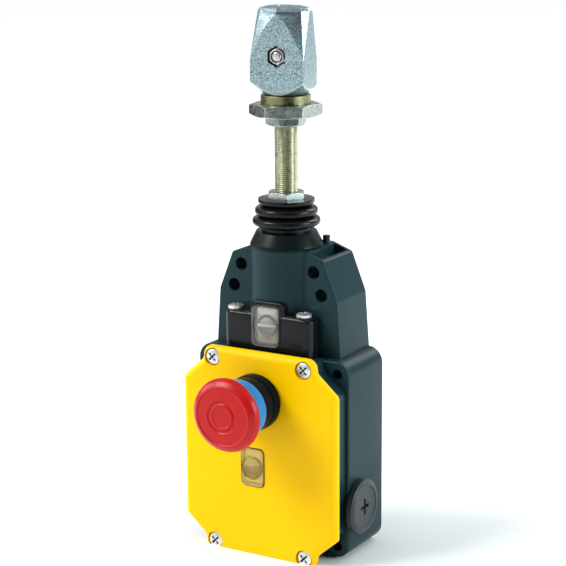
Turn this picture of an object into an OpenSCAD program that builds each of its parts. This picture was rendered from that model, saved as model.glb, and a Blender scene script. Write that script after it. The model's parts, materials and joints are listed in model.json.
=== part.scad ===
// Rope-pull emergency-stop switch.
// The origin is the middle of the housing's back (mounting) face.
// X is to the right, Y runs into the wall, and Z is up along the pull rod.
// "depth" is always the distance in front of the mounting face (depth = -Y).

/* [Housing] */
// Width of the housing's rear body
box_w = 89; // [80:1:110]
// Height of the housing's rear body
box_h = 104; // [96:1:130]
// Depth of the rear body, from the mounting face to the corner steps
box_d = 36; // [34:1:46]
// Corner radius of the rear body
box_r = 8; // [4:1:9]
// Depth of the front collar that carries the cover
collar_d = 9.4; // [7:0.1:14]
// Thickness of the side walls
side_wall = 5.5; // [4:0.5:7]
// Thickness of the back wall
back_wall = 4; // [3:0.5:6]
// Radius of the corner fixing holes
corner_hole_r = 2.75; // [2:0.05:3]
// Distance of a corner fixing hole from each outer face
corner_hole_inset = 6.6; // [6:0.1:8]

/* [Cover] */
// Overlap of the cover past the rear body, each side
cover_lip = 0.7; // [0:0.1:2]
// Length of the cover's straight side
cover_side_h = 75; // [60:1:80]
// Width between the outer edges of the screw tabs
cover_tab_w = 66; // [60:1:72]
// Height over the screw tabs
cover_h = 110.4; // [106:0.1:136]
// Corner radius of the screw tabs
cover_tab_r = 5; // [2:0.5:7]
// Thickness of the cover gasket
gasket_t = 1.4; // [1:0.1:2.5]
// Height of the cover above the gasket
cover_t = 4.3; // [4:0.1:8]
// Width and height of the bevel round the cover's face
cover_bevel = 3.5; // [1:0.1:3.5]
// Thickness of the cover's front wall
cover_skin = 2.5; // [2:0.1:3]
// Distance between the cover screws, across
cover_screw_x = 53.4; // [50:0.1:58]
// Distance between the cover screws, upright
cover_screw_z = 99.3; // [96:0.1:126]

/* [Screws] */
// Radius of the cover screws' heads
screw_head_r = 4; // [3.4:0.1:4.4]
// Height of the cover screws' heads
screw_head_h = 2.6; // [2:0.1:3]
// Radius of the cover screws' shanks
screw_r = 2; // [1.5:0.1:2.5]
// Length of the cover screws' shanks
screw_l = 16; // [12:1:18]

/* [Tower] */
// Height of the tower above the box
tower_h = 53; // [48:1:70]
// Depth of the tower's side wings
tower_d = 30.5; // [30:0.5:34]
// Radius of the tower's round middle
tower_r = 18.5; // [17.5:0.1:20]
// Width of the wings at the box
wing_base_w = 73.4; // [68:0.1:80]
// Width of the wings where they turn in
wing_mid_w = 69.2; // [64:0.1:74]
// Width of the wings at their upper corners
wing_top_w = 53.4; // [50:0.1:58]
// Drop of the wings' upper corners below the tower's top
wing_drop = 4; // [2:0.5:8]
// Height of the wings' straight flank
wing_flank_h = 29; // [24:1:34]
// Radius of the tower's fixing holes
fix_hole_r = 3.4; // [2.6:0.1:3.6]
// Distance between the upper fixing holes
fix_upper_x = 42.6; // [40:0.1:45]
// Distance between the lower fixing holes
fix_lower_x = 51.2; // [48:0.1:54]
// Drop of the upper fixing holes below the tower's top
fix_upper_drop = 10.1; // [9:0.1:14]
// Drop of the lower fixing holes below the tower's top
fix_lower_drop = 21.5; // [20:0.1:26]

/* [Pull rod] */
// Depth of the rod's axis
rod_d = 20.7; // [20:0.1:24]
// Radius of the rod (M12)
rod_r = 6; // [5:0.1:6.5]
// Travel of the rod, from slack to fully pulled
rod_travel = 14; // [8:1:16]
// Height of the closed bellows
bellows_h = 16; // [14:1:20]
// Length of bare rod between the two jam nuts
rod_bare = 33.4; // [20:0.1:40]
// Width across flats of the jam nuts
jam_af = 18; // [16:1:19]
// Height of the lower jam nut
jam_low_h = 4.2; // [3:0.1:7]
// Height of the upper jam nut
jam_up_h = 4.9; // [3:0.1:7]
// Width across flats of the tension nut
tension_af = 32.2; // [28:0.1:36]
// Height of the tension nut
tension_h = 6.3; // [5:0.1:9]
// Travel of the rope clamp along the rod when it is tensioned
tension_travel = 10; // [4:1:12]

/* [Rope clamp] */
// Width of the clamp head
head_w = 28.4; // [26:0.1:32]
// Distance of its front face from the rod's axis
head_front = 12; // [11:0.1:14]
// Distance of its rear face from the rod's axis
head_rear = 9.5; // [9:0.1:12]
// Height of the clamp head
head_h = 43.5; // [42:0.1:50]
// Turn of the clamp head about the rod, at rest
head_turn = 9; // [-45:1:45]
// Radius of the rope bore
rope_r = 3.2; // [2:0.1:3.2]
// Height of the clamp bolt above the head's lowest point
bolt_z = 19.3; // [18:0.1:21]
// Radius of the clamp bolt (M5)
bolt_r = 2.5; // [2:0.1:2.5]
// Width across flats of the clamp nut
clamp_nut_af = 8; // [7:0.1:8.2]

/* [Emergency-stop button] */
// Height of the button's axis above the housing's centre
estop_z = 30.5; // [24:0.5:32]
// Radius of the red mushroom head
mushroom_r = 18.8; // [17:0.1:20]
// Radius of the fixed collar
estop_collar_r = 14.4; // [13:0.1:15]
// Height of the fixed collar
estop_collar_h = 14.1; // [10:0.1:16]
// Height of the blue ring
estop_ring_h = 9.6; // [8:0.1:10]
// Travel of the button
estop_travel = 5; // [3:0.5:5.5]
// Radius of the button's stem
estop_stem_r = 5.9; // [4.5:0.1:6.5]

/* [Windows] */
// Offset of the cover window's centre from the housing's centre, across
cover_win_x = -3; // [-6:0.5:6]
// Height of the cover window's centre above the housing's centre
cover_win_z = -5.5; // [-14:0.5:0]
// Width of the cover window
cover_win_w = 13.3; // [11:0.1:15]
// Height of the cover window
cover_win_h = 20.1; // [17:0.1:24]
// Projection of the cover window from the cover
cover_win_out = 0.8; // [0.6:0.1:3]
// Width of the window block on the tower
block_w = 51; // [46:0.5:56]
// Height of the window block
block_h = 21.5; // [19:0.5:25]
// Width of the tower window
tower_win_w = 15.2; // [12:0.1:17]
// Height of the tower window
tower_win_h = 20.8; // [17:0.1:21]
// Projection of the tower window from its block
tower_win_out = 2.2; // [1:0.1:4]

/* [Cable entries] */
// Radius of the threaded entries (M20)
entry_r = 9.25; // [8:0.05:10]
// Depth of the side entries' axis
entry_d = 26.7; // [24:0.1:27]
// Height of the side entries' axis above the housing's centre
entry_z = -25.3; // [-30:0.1:-22]
// Radius of a blanking plug's head
plug_r = 13.8; // [12:0.1:14]
// Height of a blanking plug's head with its seal
plug_h = 5.1; // [4:0.1:7]

/* [Fits] */
// Running clearance round a shaft, on the radius
run_clear = 0.06; // [0.02:0.01:0.09]
// Clearance round fixed inserts, each side
fixed_clear = 0.1; // [0.05:0.01:0.2]
// Gap between faces that move apart
face_gap = 0.2; // [0.1:0.05:0.4]

/* [Hidden] */
$fn = 64;
hull_fn = 32;
eps = 0.01;

// Depths of the faces that follow each other out of the wall
collar_front = box_d + collar_d;
gasket_front = collar_front + gasket_t;
cover_front = gasket_front + cover_t;
cover_inner = cover_front - cover_skin;
// Cover outline
cover_w = box_w + 2 * cover_lip;
// The collar is set back from the cover's edge
collar_inset = 2.6;
// The cavity's wall, measured from the cover's outline
cavity_inset = collar_inset + side_wall - 1.4;
// Heights along the rod
box_top = box_h / 2;
tower_top = box_top + tower_h;
cavity_top = min(box_top - 8, cover_h / 2 - cavity_inset - 1);
chamber_r = tower_r - 4.5;
ledge_t = 5.5;
ledge_z = cavity_top + ledge_t;
cap_h = 8;
cap_top = tower_top + cap_h;
bellows_top = cap_top + bellows_h;
rod_nut_z = bellows_top + jam_low_h;
jam_up_z = rod_nut_z + rod_bare;
tension_z = jam_up_z + jam_up_h;
neck_z = tension_z + tension_h;
head_z = neck_z + 4.8;
spigot_r = rod_r + 1.6;
spigot_top = head_z + 7.6;
rod_top = spigot_top - 6.5;
rope_z = rod_top + tension_travel + 2;
wedge_h = 13;
wedge_w = 8;
wedge_t = 3.4;
wedge_slot_h = 17;
wedge_z = head_z + 24.5;
bolt_axis_z = head_z + bolt_z;
// Guide and spring
bush_h = 9;
bush_z = tower_top - bush_h;
plate_t = 3;
plate_nut_h = 5;
spring_z = ledge_z + face_gap / 2 + plate_t;
spring_h = bush_z - spring_z;
spring_wire = 1.2;
spring_coils = 8;
spring_mean_r = chamber_r - spring_wire - 1.2;
// Cam on the rod's lower end
cam_r = 9;
cam_h = 20;
cam_z = cavity_top - 30;
rod_bottom = cam_z - 6;
// Stub cast behind the tower cap
stub_x = tower_r * 0.81;
stub_d = 6;
stub_r = 1.9;
stub_h = 4;
// Pocket in the top of each wing
pocket_in = tower_r - 1;
pocket_out = wing_top_w / 2 - 1.7;
pocket_z = tower_top - fix_upper_drop + fix_hole_r + 1.2;
// Window block
block_front = rod_d + tower_r + 2.3;
block_back = tower_d + 0.2;
block_edge = 1.6;
block_screw_x = 40;
block_screw_d = block_front - 3.6;
block_screw_head_r = 4;
block_screw_head_h = 2.4;
block_screw_r = 1.6;
block_top = box_top + block_h;
tower_win_z = box_top + 15;
window_wall = 1.5;
flange_t = 1.2;
flange_out = 1.6;
// Emergency stop
seal_t = 1;
collar_base = cover_front + seal_t;
estop_neck_r = 11;
neck_back = cover_inner - 4.5;
estop_collar_front = collar_base + estop_collar_h;
estop_ring_front = estop_collar_front + estop_ring_h;
mushroom_gap = 1.6;
mushroom_back = estop_ring_front + mushroom_gap;
// Hollow under the mushroom: it still clears the blue ring when pressed home
mushroom_hollow = estop_travel - mushroom_gap + 0.5;
stem_back = box_d + 2;
spring_seat = collar_base + 7;
// Switch blocks
block_gap = 12.5;
switch_w = 21;
switch_z = estop_z - 23.5;
// The blocks' outer top corners stay clear of the cavity's slanted corners
block_clear = 0.54;
cavity_hw = cover_w / 2 - cavity_inset;
cavity_side = cover_side_h / 2 - cavity_inset * 0.45;
cavity_shoulder = min(
    cavity_side + (cover_w / 2 - cover_tab_w / 2) * 0.9, cover_h / 2 - cavity_inset - 2
);
cavity_slope = (cavity_shoulder - cavity_side) / (cover_w / 2 - cover_tab_w / 2);
switch_h = cavity_side + (cavity_hw - block_gap - switch_w - block_clear) * cavity_slope - switch_z;
switch_front = 29.5;
plunger_x = 22;
plunger_r = 2.4;
crossbar_t = 2.5;
crossbar_w = 2 * plunger_x + 8;

// ---- Placing helpers ----

// Extrudes a front-view outline from one depth to a larger one.
module face_extrude(back, front) {
    translate([0, -back, 0]) rotate([90, 0, 0]) linear_extrude(front - back) children();
}

// Turns a shape drawn along +Z so that it points out of the front, at x, z and a depth.
module facing_front(x, z, depth) {
    translate([x, -depth, z]) rotate([90, 0, 0]) children();
}

// Places a shape on the rod's axis at a height.
module on_rod(z) {
    translate([0, -rod_d, z]) children();
}

// Places a shape in the clamp head's own frame: X across, -Y out of its front face.
module in_head(z) {
    on_rod(z) rotate([0, 0, head_turn]) children();
}

module rounded_rect(w, h, r) {
    square([w - 2 * r, h], center = true);
    square([w, h - 2 * r], center = true);
    for (x = [-1, 1], z = [-1, 1]) translate([x * (w / 2 - r), z * (h / 2 - r)]) circle(r);
}

// The cover's outline is a plate with straight sides and slanted corners, and a taller one
// that carries the four screw tabs.
module waist_outline(inset) {
    hw = cover_w / 2 - inset;
    tab = cover_tab_w / 2 - inset;
    side = cover_side_h / 2 - inset * 0.45;
    shoulder = min(side + (hw - tab) * 0.9, cover_h / 2 - inset - 2);
    polygon([
        [hw, side], [tab, shoulder], [-tab, shoulder], [-hw, side],
        [-hw, -side], [-tab, -shoulder], [tab, -shoulder], [hw, -side]
    ]);
}

module tab_outline(inset) {
    rounded_rect(cover_tab_w - 2 * inset, cover_h - 2 * inset, max(cover_tab_r - inset, 1));
}

module cover_outline(inset) {
    waist_outline(inset);
    tab_outline(inset);
}

// Right half of the wings, mirrored to make the whole outline.
module wings_outline() {
    for (side = [0, 1]) mirror([side, 0])
        polygon([
            [0, box_top - 3], [wing_base_w / 2, box_top - 3], [wing_base_w / 2, box_top],
            [wing_mid_w / 2, box_top + wing_flank_h],
            [wing_top_w / 2, tower_top - wing_drop],
            [tower_r * 0.85, tower_top], [0, tower_top]
        ]);
}

// A hexagon with flats w apart.
module hex(w, h) {
    cylinder(r = w / sqrt(3), h = h, $fn = 6);
}

// A pan-head screw with a cross recess: head from z = 0 up, shank below.
module pan_screw(head_r, head_h, shank_r, shank_l) {
    difference() {
        union() {
            intersection() {
                cylinder(r = head_r, h = head_h);
                translate([0, 0, head_h - 2.2 * head_r]) sphere(r = 2.2 * head_r);
            }
            translate([0, 0, -shank_l]) cylinder(r = shank_r, h = shank_l + eps);
        }
        for (turn = [45, 135]) rotate([0, 0, turn])
            translate([-head_r * 0.65, -0.55, head_h * 0.4]) cube([head_r * 1.3, 1.1, head_h]);
    }
}

// Coil spring along +Z: a swept round wire with flat-lying end turns.
function coil_point(r, h, wire, coils, t) =
    [r * cos(360 * coils * t), r * sin(360 * coils * t), wire + (h - 2 * wire) * t];

module coil_spring(r, h, wire, coils) {
    steps = coils * 18;
    sides = 8;
    points = [
        for (i = [0 : steps]) let (c = coil_point(r, h, wire, coils, i / steps), a = 360 * coils * i / steps)
            for (j = [0 : sides - 1]) let (b = 360 * j / sides)
                [c.x + wire * cos(b) * cos(a), c.y + wire * cos(b) * sin(a), c.z + wire * sin(b)]
    ];
    faces = concat(
        [[for (j = [0 : sides - 1]) j]],
        [[for (j = [sides - 1 : -1 : 0]) steps * sides + j]],
        [
            for (i = [0 : steps - 1], j = [0 : sides - 1])
                let (k = (j + 1) % sides)
                    [i * sides + j, (i + 1) * sides + j, (i + 1) * sides + k, i * sides + k]
        ]
    );
    polyhedron(points, faces, convexity = 6);
}

module cover_screw_places(depth) {
    for (x = [-1, 1], z = [-1, 1])
        facing_front(x * cover_screw_x / 2, z * cover_screw_z / 2, depth) children();
}

// ---- Fixed parts ----

// Die-cast body: box, front collar, spring tower with wings, and the cavity.
module housing() color([0.13, 0.17, 0.18]) {
    entry_len = side_wall + 12;
    difference() {
        union() {
            face_extrude(0, box_d) rounded_rect(box_w, box_h, box_r);
            face_extrude(box_d - eps, collar_front) cover_outline(collar_inset);
            on_rod(cavity_top) cylinder(r = tower_r, h = tower_top - cavity_top);
            face_extrude(0, tower_d) wings_outline();
            // Cast stub behind the cap
            translate([stub_x, -stub_d, tower_top - 10]) cylinder(r = stub_r, h = 10 + stub_h);
        }
        // Cavity, open at the front
        face_extrude(back_wall, collar_front + 1) intersection() {
            cover_outline(cavity_inset);
            square([cover_w, 2 * cavity_top], center = true);
        }
        // Spring chamber, with a ledge below it that carries the spring plate
        on_rod(ledge_z) cylinder(r = chamber_r, h = tower_h + 20);
        on_rod(cavity_top - 1) cylinder(r = jam_af / sqrt(3) + 0.8, h = ledge_t + 2);
        // Sight hole into the spring chamber
        face_extrude(rod_d + 5, rod_d + tower_r + 1)
            translate([0, tower_win_z]) square([9, 15], center = true);
        // Cable entries: two sides and the bottom
        translate([0, -entry_d, entry_z]) rotate([0, 90, 0])
            cylinder(r = entry_r, h = box_w + 2, center = true);
        translate([0, -entry_d, -box_top - 1]) cylinder(r = entry_r, h = entry_len);
        // Fixing holes of the tower and the box corners
        for (x = [-1, 1]) {
            facing_front(x * fix_upper_x / 2, tower_top - fix_upper_drop, -1)
                cylinder(r = fix_hole_r, h = tower_d + 2);
            facing_front(x * fix_lower_x / 2, tower_top - fix_lower_drop, -1)
                cylinder(r = fix_hole_r, h = tower_d + 2);
        }
        for (x = [-1, 1], z = [-1, 1])
            facing_front(x * (box_w / 2 - corner_hole_inset), z * (box_top - corner_hole_inset), -1)
                cylinder(r = corner_hole_r, h = box_d + 2);
        // Threaded holes for the cover screws
        cover_screw_places(cover_inner - screw_l - 1) cylinder(r = screw_r, h = screw_l);
        // Threaded holes for the window block, the switch blocks and the earth screw
        for (x = [-1, 1]) translate([x * block_screw_x / 2, -block_screw_d, box_top - 7])
            cylinder(r = block_screw_r, h = 8);
        // Pocket in the top of each wing, beside the round middle
        for (x = [-1, 1]) difference() {
            translate([x * (pocket_in + pocket_out) / 2, -tower_d / 2, pocket_z + 10])
                cube([pocket_out - pocket_in, tower_d - 4, 20], center = true);
            on_rod(pocket_z - 1) cylinder(r = tower_r, h = 30);
        }
        // Coring from the back of each wing
        for (x = [-1, 1]) face_extrude(-1, tower_d - 4)
            translate([x * (wing_mid_w / 2 - 8.5), box_top + 15]) square([9, 17], center = true);
    }
}

// Sealing cord pressed between the collar and the cover.
module cover_gasket() color([0.06, 0.06, 0.06]) difference() {
    face_extrude(collar_front, gasket_front) cover_outline(collar_inset - 0.4);
    face_extrude(collar_front - 1, gasket_front + 1) intersection() {
        cover_outline(cavity_inset);
        square([cover_w, 2 * cavity_top], center = true);
    }
    cover_screw_places(collar_front - 1) cylinder(r = screw_r, h = gasket_t + 2);
}

// Moulded yellow cover with a bevelled face and four screw recesses.
module cover() color([1, 0.8, 0]) difference() {
    union() {
        hull() {
            face_extrude(gasket_front, cover_front - cover_bevel) waist_outline(0);
            face_extrude(gasket_front, cover_front) waist_outline(cover_bevel);
        }
        hull() {
            face_extrude(gasket_front, cover_front - cover_bevel) tab_outline(0);
            face_extrude(gasket_front, cover_front) tab_outline(cover_bevel);
        }
    }
    face_extrude(gasket_front - 1, cover_inner) intersection() {
        cover_outline(cavity_inset);
        square([cover_w, 2 * cavity_top], center = true);
    }
    cover_screw_places(gasket_front - 1) cylinder(r = screw_r + 0.3, h = cover_t + 2);
    cover_screw_places(cover_inner) cylinder(r = screw_head_r + 0.5, h = cover_skin + 1);
    facing_front(0, estop_z, cover_inner - 1)
        cylinder(r = estop_neck_r + fixed_clear, h = cover_skin + 2);
    face_extrude(cover_inner - 1, cover_front + 1) translate([cover_win_x, cover_win_z])
        rounded_rect(cover_win_w + 2 * fixed_clear, cover_win_h + 2 * fixed_clear, 2.5);
}

module cover_screws() color([0.75, 0.75, 0.72])
    cover_screw_places(cover_inner) pan_screw(screw_head_r, screw_head_h, screw_r, screw_l);

// A clear hollow lens with a flange behind its wall and a ring round its sight glass.
module lens(w, h, x, z, wall_back, wall_front, out, disc_r) {
    difference() {
        union() {
            face_extrude(wall_back - flange_t, wall_front + out)
                translate([x, z]) rounded_rect(w, h, 2.5);
            face_extrude(wall_back - flange_t, wall_back)
                translate([x, z]) rounded_rect(w + 2 * flange_out, h + 2 * flange_out, 2.5);
        }
        face_extrude(wall_back - flange_t - 1, wall_front + out - window_wall)
            translate([x, z]) rounded_rect(w - 2 * window_wall, h - 2 * window_wall, 1.5);
        facing_front(x, z, wall_front + out - 0.4) difference() {
            cylinder(r = disc_r, h = 1);
            translate([0, 0, -1]) cylinder(r = disc_r - 0.8, h = 3);
        }
    }
}

module cover_window() color([0.85, 0.87, 0.8, 0.5])
    lens(cover_win_w, cover_win_h, cover_win_x, cover_win_z, cover_inner, cover_front,
        cover_win_out, cover_win_w / 2 - 0.5);

// Status disc with a crossbar on a carrier plate that fills a window's hollow.
module indicator(w, h, x, z, depth, t) {
    r = w / 2 - window_wall - 0.3;
    facing_front(x, z, depth) difference() {
        union() {
            linear_extrude(0.6) rounded_rect(w - 2 * window_wall, h - 2 * window_wall, 1.5);
            cylinder(r = r, h = t);
            translate([-r + 0.6, -0.7, t - eps]) cube([2 * r - 1.2, 1.4, 0.5]);
        }
        translate([0, 0, t - 0.4]) difference() {
            cylinder(r = r - 0.8, h = 0.6);
            translate([0, 0, -1]) cylinder(r = r - 1.4, h = 3);
            translate([-r, -0.7, -1]) cube([2 * r, 1.4, 3]);
        }
    }
}

module cover_indicator() color([0.8, 0.82, 0.75])
    indicator(cover_win_w, cover_win_h, cover_win_x, cover_win_z, cover_inner - 0.4, 1.4);

// Black block on the tower's front that holds the tower window.
module window_block() color([0.15, 0.18, 0.18]) difference() {
    union() {
        hull() {
            face_extrude(block_back, block_front) translate([-block_w / 2 + 4, box_top])
                square([block_w - 8, block_h - block_edge]);
            for (x = [-1, 1]) translate([x * (block_w / 2 - 4), -(block_front - 4), box_top])
                cylinder(r = 4, h = block_h - block_edge, $fn = hull_fn);
            face_extrude(block_back, block_front - 4) translate([-block_w / 2, box_top])
                square([block_w, block_h - block_edge]);
            face_extrude(block_back, block_front - block_edge)
                translate([-block_w / 2 + 4, box_top]) square([block_w - 8, block_h]);
        }
        // Raised middle that surrounds the tower window
        face_extrude(block_back, block_front - 0.8) translate([0, tower_win_z])
            rounded_rect(tower_win_w + 5, tower_win_h + 4, 3);
    }
    // Seat round the tower's round middle
    on_rod(box_top - 1) cylinder(r = tower_r + fixed_clear, h = tower_win_h + block_h);
    // Relief over the collar
    face_extrude(box_d, block_front + 1) translate([-block_w, box_top - 1])
        square([2 * block_w, max(cover_h / 2 - collar_inset - box_top, 0) + 1]);
    face_extrude(tower_d, block_front + 1) translate([0, tower_win_z])
        rounded_rect(tower_win_w + 2 * fixed_clear, tower_win_h + 2 * fixed_clear, 2.5);
    for (x = [-1, 1]) translate([x * block_screw_x / 2, -block_screw_d, box_top - 1])
        cylinder(r = block_screw_r + 0.2, h = block_h + 2);
}

module window_block_screws() color([0.75, 0.75, 0.72])
    for (x = [-1, 1]) translate([x * block_screw_x / 2, -block_screw_d, block_top])
        pan_screw(block_screw_head_r, block_screw_head_h, block_screw_r, block_h + 6);

// The tower window stands on the flat in front of the sight hole.
module tower_window() color([0.85, 0.87, 0.85, 0.5]) difference() {
    face_extrude(rod_d + tower_r, block_front + tower_win_out)
        translate([0, tower_win_z]) rounded_rect(tower_win_w, tower_win_h, 2.5);
    face_extrude(rod_d + tower_r - 1, block_front + tower_win_out - window_wall)
        translate([0, tower_win_z])
            rounded_rect(tower_win_w - 2 * window_wall, tower_win_h - 2 * window_wall, 1.5);
    facing_front(0, tower_win_z, block_front + tower_win_out - 0.4) difference() {
        cylinder(r = tower_win_w / 2 - 0.8, h = 1);
        translate([0, 0, -1]) cylinder(r = tower_win_w / 2 - 1.6, h = 3);
    }
}

module tower_indicator() color([0.75, 0.78, 0.78])
    indicator(tower_win_w, tower_win_h, 0, tower_win_z, rod_d + tower_r, 1.4);

// Blanking plugs in the two side entries.
module side_entry_plugs() color([0.05, 0.05, 0.05])
    for (side = [-1, 1]) translate([side * (box_w / 2 + 1), -entry_d, entry_z])
        rotate([0, side * 90, 0]) difference() {
            union() {
                cylinder(r = plug_r, h = plug_h - 2.2);
                translate([0, 0, plug_h - 2.2 - eps]) cylinder(r1 = plug_r, r2 = plug_r - 1.2, h = 1.2);
                translate([0, 0, -side_wall - 2]) cylinder(r = entry_r, h = side_wall + 2 + eps);
            }
            translate([0, 0, plug_h - 1.6]) cylinder(r = plug_r - 3, h = 3);
            translate([0, 0, plug_h - 1.6 - 2.2]) for (turn = [0, 90]) rotate([0, 0, turn])
                translate([-4.2, -0.9, 0]) cube([8.4, 1.8, 4]);
        }

module entry_plug_seals() color([0.03, 0.03, 0.03])
    for (side = [-1, 1]) translate([side * box_w / 2, -entry_d, entry_z])
        rotate([0, side * 90, 0]) difference() {
            cylinder(r = plug_r - 0.8, h = 1);
            translate([0, 0, -1]) cylinder(r = entry_r, h = 3);
        }

// Guide bush pressed into the top of the tower.
module guide_bush() color([0.7, 0.6, 0.35]) on_rod(bush_z) difference() {
    cylinder(r = chamber_r, h = bush_h);
    translate([0, 0, -1]) cylinder(r = rod_r + run_clear, h = bush_h + 2);
}

// Flared cap that closes the tower and seats the bellows.
module tower_cap() color([0.1, 0.13, 0.14]) on_rod(tower_top) rotate_extrude() polygon([
    [rod_r + 1.5, 0], [tower_r, 0], [tower_r + 0.3, 0.8],
    [tower_r + 0.1, 1.8], [tower_r - 3, cap_h], [rod_r + 1.5, cap_h]
]);

// One bead of the bellows: an outer bulge between two waists.
function bead(z, r, half, bulge) = [
    for (a = [-90 : 30 : 90]) [r - bulge + bulge * cos(a), z + half * sin(a)]
];

// Rubber bellows, closed round the rod at its top and open below.
module bellows() color([0.06, 0.06, 0.06]) on_rod(cap_top) {
    wall = 1.1;
    bead_r = [tower_r - 1.1, tower_r - 2.4, tower_r - 4];
    pitch = bellows_h / 3.2;
    first = bellows_h * 0.3;
    half = pitch * 0.42;
    outer = concat(
        [[tower_r - 3.4, 0], [tower_r - 3.4, 1]],
        [for (i = [0 : 2]) each bead(first + i * pitch, bead_r[i], half, 3)],
        [[jam_af / 2 + 0.4, bellows_h]]
    );
    inner = [
        [rod_r + 0.02, bellows_h], [rod_r + 0.02, bellows_h - wall], [bead_r[2] - 4, bellows_h - wall],
        for (i = [2 : -1 : 0]) each [
            [bead_r[i] - wall, first + i * pitch],
            [bead_r[i] - 3 - wall, first + i * pitch - half - 0.2]
        ],
        [tower_r - 3.4 - wall, 0]
    ];
    rotate_extrude() polygon(concat(outer, inner));
}

// ---- Pull rod group ----

module main_spring() color([0.6, 0.6, 0.6])
    on_rod(spring_z) coil_spring(spring_mean_r, spring_h, spring_wire, spring_coils);

module spring_plate() color([0.65, 0.65, 0.63]) on_rod(ledge_z + face_gap / 2) difference() {
    cylinder(r = chamber_r - 0.4, h = plate_t);
    translate([0, 0, -1]) cylinder(r = rod_r, h = plate_t + 2);
}

module plate_nut() color([0.75, 0.75, 0.72])
    on_rod(ledge_z + face_gap / 2 - plate_nut_h) difference() {
        hex(jam_af, plate_nut_h);
        translate([0, 0, -1]) cylinder(r = rod_r, h = plate_nut_h + 2);
    }

module pull_rod() color([0.78, 0.76, 0.62])
    on_rod(rod_bottom) cylinder(r = rod_r, h = rod_top - rod_bottom);

// Cam with a waist: the followers drop into it at the right rope tension.
module cam_sleeve() color([0.9, 0.88, 0.8]) on_rod(cam_z) rotate_extrude() polygon([
    [rod_r, 0], [cam_r, 0], [cam_r, cam_h * 0.3], [cam_r - 2, cam_h * 0.42],
    [cam_r - 2, cam_h * 0.58], [cam_r, cam_h * 0.7], [cam_r, cam_h], [rod_r, cam_h]
]);

module cam_circlip() color([0.3, 0.3, 0.3]) on_rod(cam_z - 1.2) difference() {
    cylinder(r = rod_r + 2, h = 1.2);
    translate([0, 0, -1]) cylinder(r = rod_r, h = 4);
    translate([0, -1.2, -1]) cube([20, 2.4, 4]);
}

// Two sprung pins that feel the cam and reach into the switch blocks.
module cam_followers() color([0.8, 0.8, 0.78])
    for (side = [-1, 1]) translate([side * (cam_r + face_gap), -rod_d, cam_z + cam_h * 0.85])
        rotate([0, side * 90, 0]) union() {
            cylinder(r1 = 1, r2 = 1.8, h = 1);
            translate([0, 0, 1 - eps]) cylinder(r = 1.8, h = block_gap - cam_r - face_gap + 2);
        }

module thread_nut(z, af, h, bore, turn) {
    on_rod(z) rotate([0, 0, turn]) difference() {
        intersection() {
            hex(af, h);
            // Chamfered corners, top and bottom
            rotate_extrude() polygon([
                [0, 0], [af / 2 - 0.3, 0], [af / sqrt(3) + 0.1, 1],
                [af / sqrt(3) + 0.1, h - 1], [af / 2 - 0.3, h], [0, h]
            ]);
        }
        translate([0, 0, -1]) cylinder(r = bore, h = h + 2);
    }
}

module lower_jam_nut() color([0.78, 0.78, 0.72]) thread_nut(bellows_top, jam_af, jam_low_h, rod_r, 0);

module upper_jam_nut() color([0.78, 0.78, 0.72])
    thread_nut(jam_up_z, jam_af, jam_up_h, rod_r + run_clear, 40);

module tension_nut() color([0.75, 0.76, 0.7])
    thread_nut(tension_z, tension_af, tension_h, rod_r + run_clear, 27);

// ---- Rope clamp ----

// Collar between the tension nut and the head; the head swivels on its spigot.
module swivel_collar() color([0.62, 0.6, 0.45]) on_rod(neck_z) difference() {
    union() {
        cylinder(r = 12.6, h = head_z - neck_z - 0.4);
        cylinder(r = spigot_r, h = spigot_top - neck_z);
    }
    translate([0, 0, -1]) cylinder(r = rod_r + run_clear, h = spigot_top - neck_z + 2);
    translate([0, 0, spigot_top - neck_z - 2.4]) difference() {
        cylinder(r = spigot_r + 1, h = 1.2);
        translate([0, 0, -1]) cylinder(r = spigot_r - 0.8, h = 4);
    }
}

module collar_circlip() color([0.3, 0.3, 0.3]) on_rod(spigot_top - 2.4) difference() {
    cylinder(r = spigot_r + 0.9, h = 1.2);
    translate([0, 0, -1]) cylinder(r = spigot_r - 0.8, h = 4);
    translate([0, -1.6, -1]) cube([20, 3.2, 4]);
}

// Half section of the head's blank, as seen from above: a rectangle low down,
// and a plan with a ridge at front and rear at the top.
module head_low_plan() {
    rear_cut = 3;
    polygon([
        [-head_w / 2, -head_front], [head_w / 2, -head_front],
        [head_w / 2, head_rear - rear_cut], [head_w / 2 - rear_cut, head_rear],
        [rear_cut - head_w / 2, head_rear], [-head_w / 2, head_rear - rear_cut]
    ]);
}

module head_top_plan() {
    side = head_w / 2 - 0.3;
    shoulder = head_w / 2 - 3.2;
    polygon([
        [0, -head_front], [shoulder, -head_front / 2], [side, -2], [side, 2],
        [shoulder, head_rear * 0.6], [0, head_rear],
        [-shoulder, head_rear * 0.6], [-side, 2], [-side, -2], [-shoulder, -head_front / 2]
    ]);
}

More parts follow.
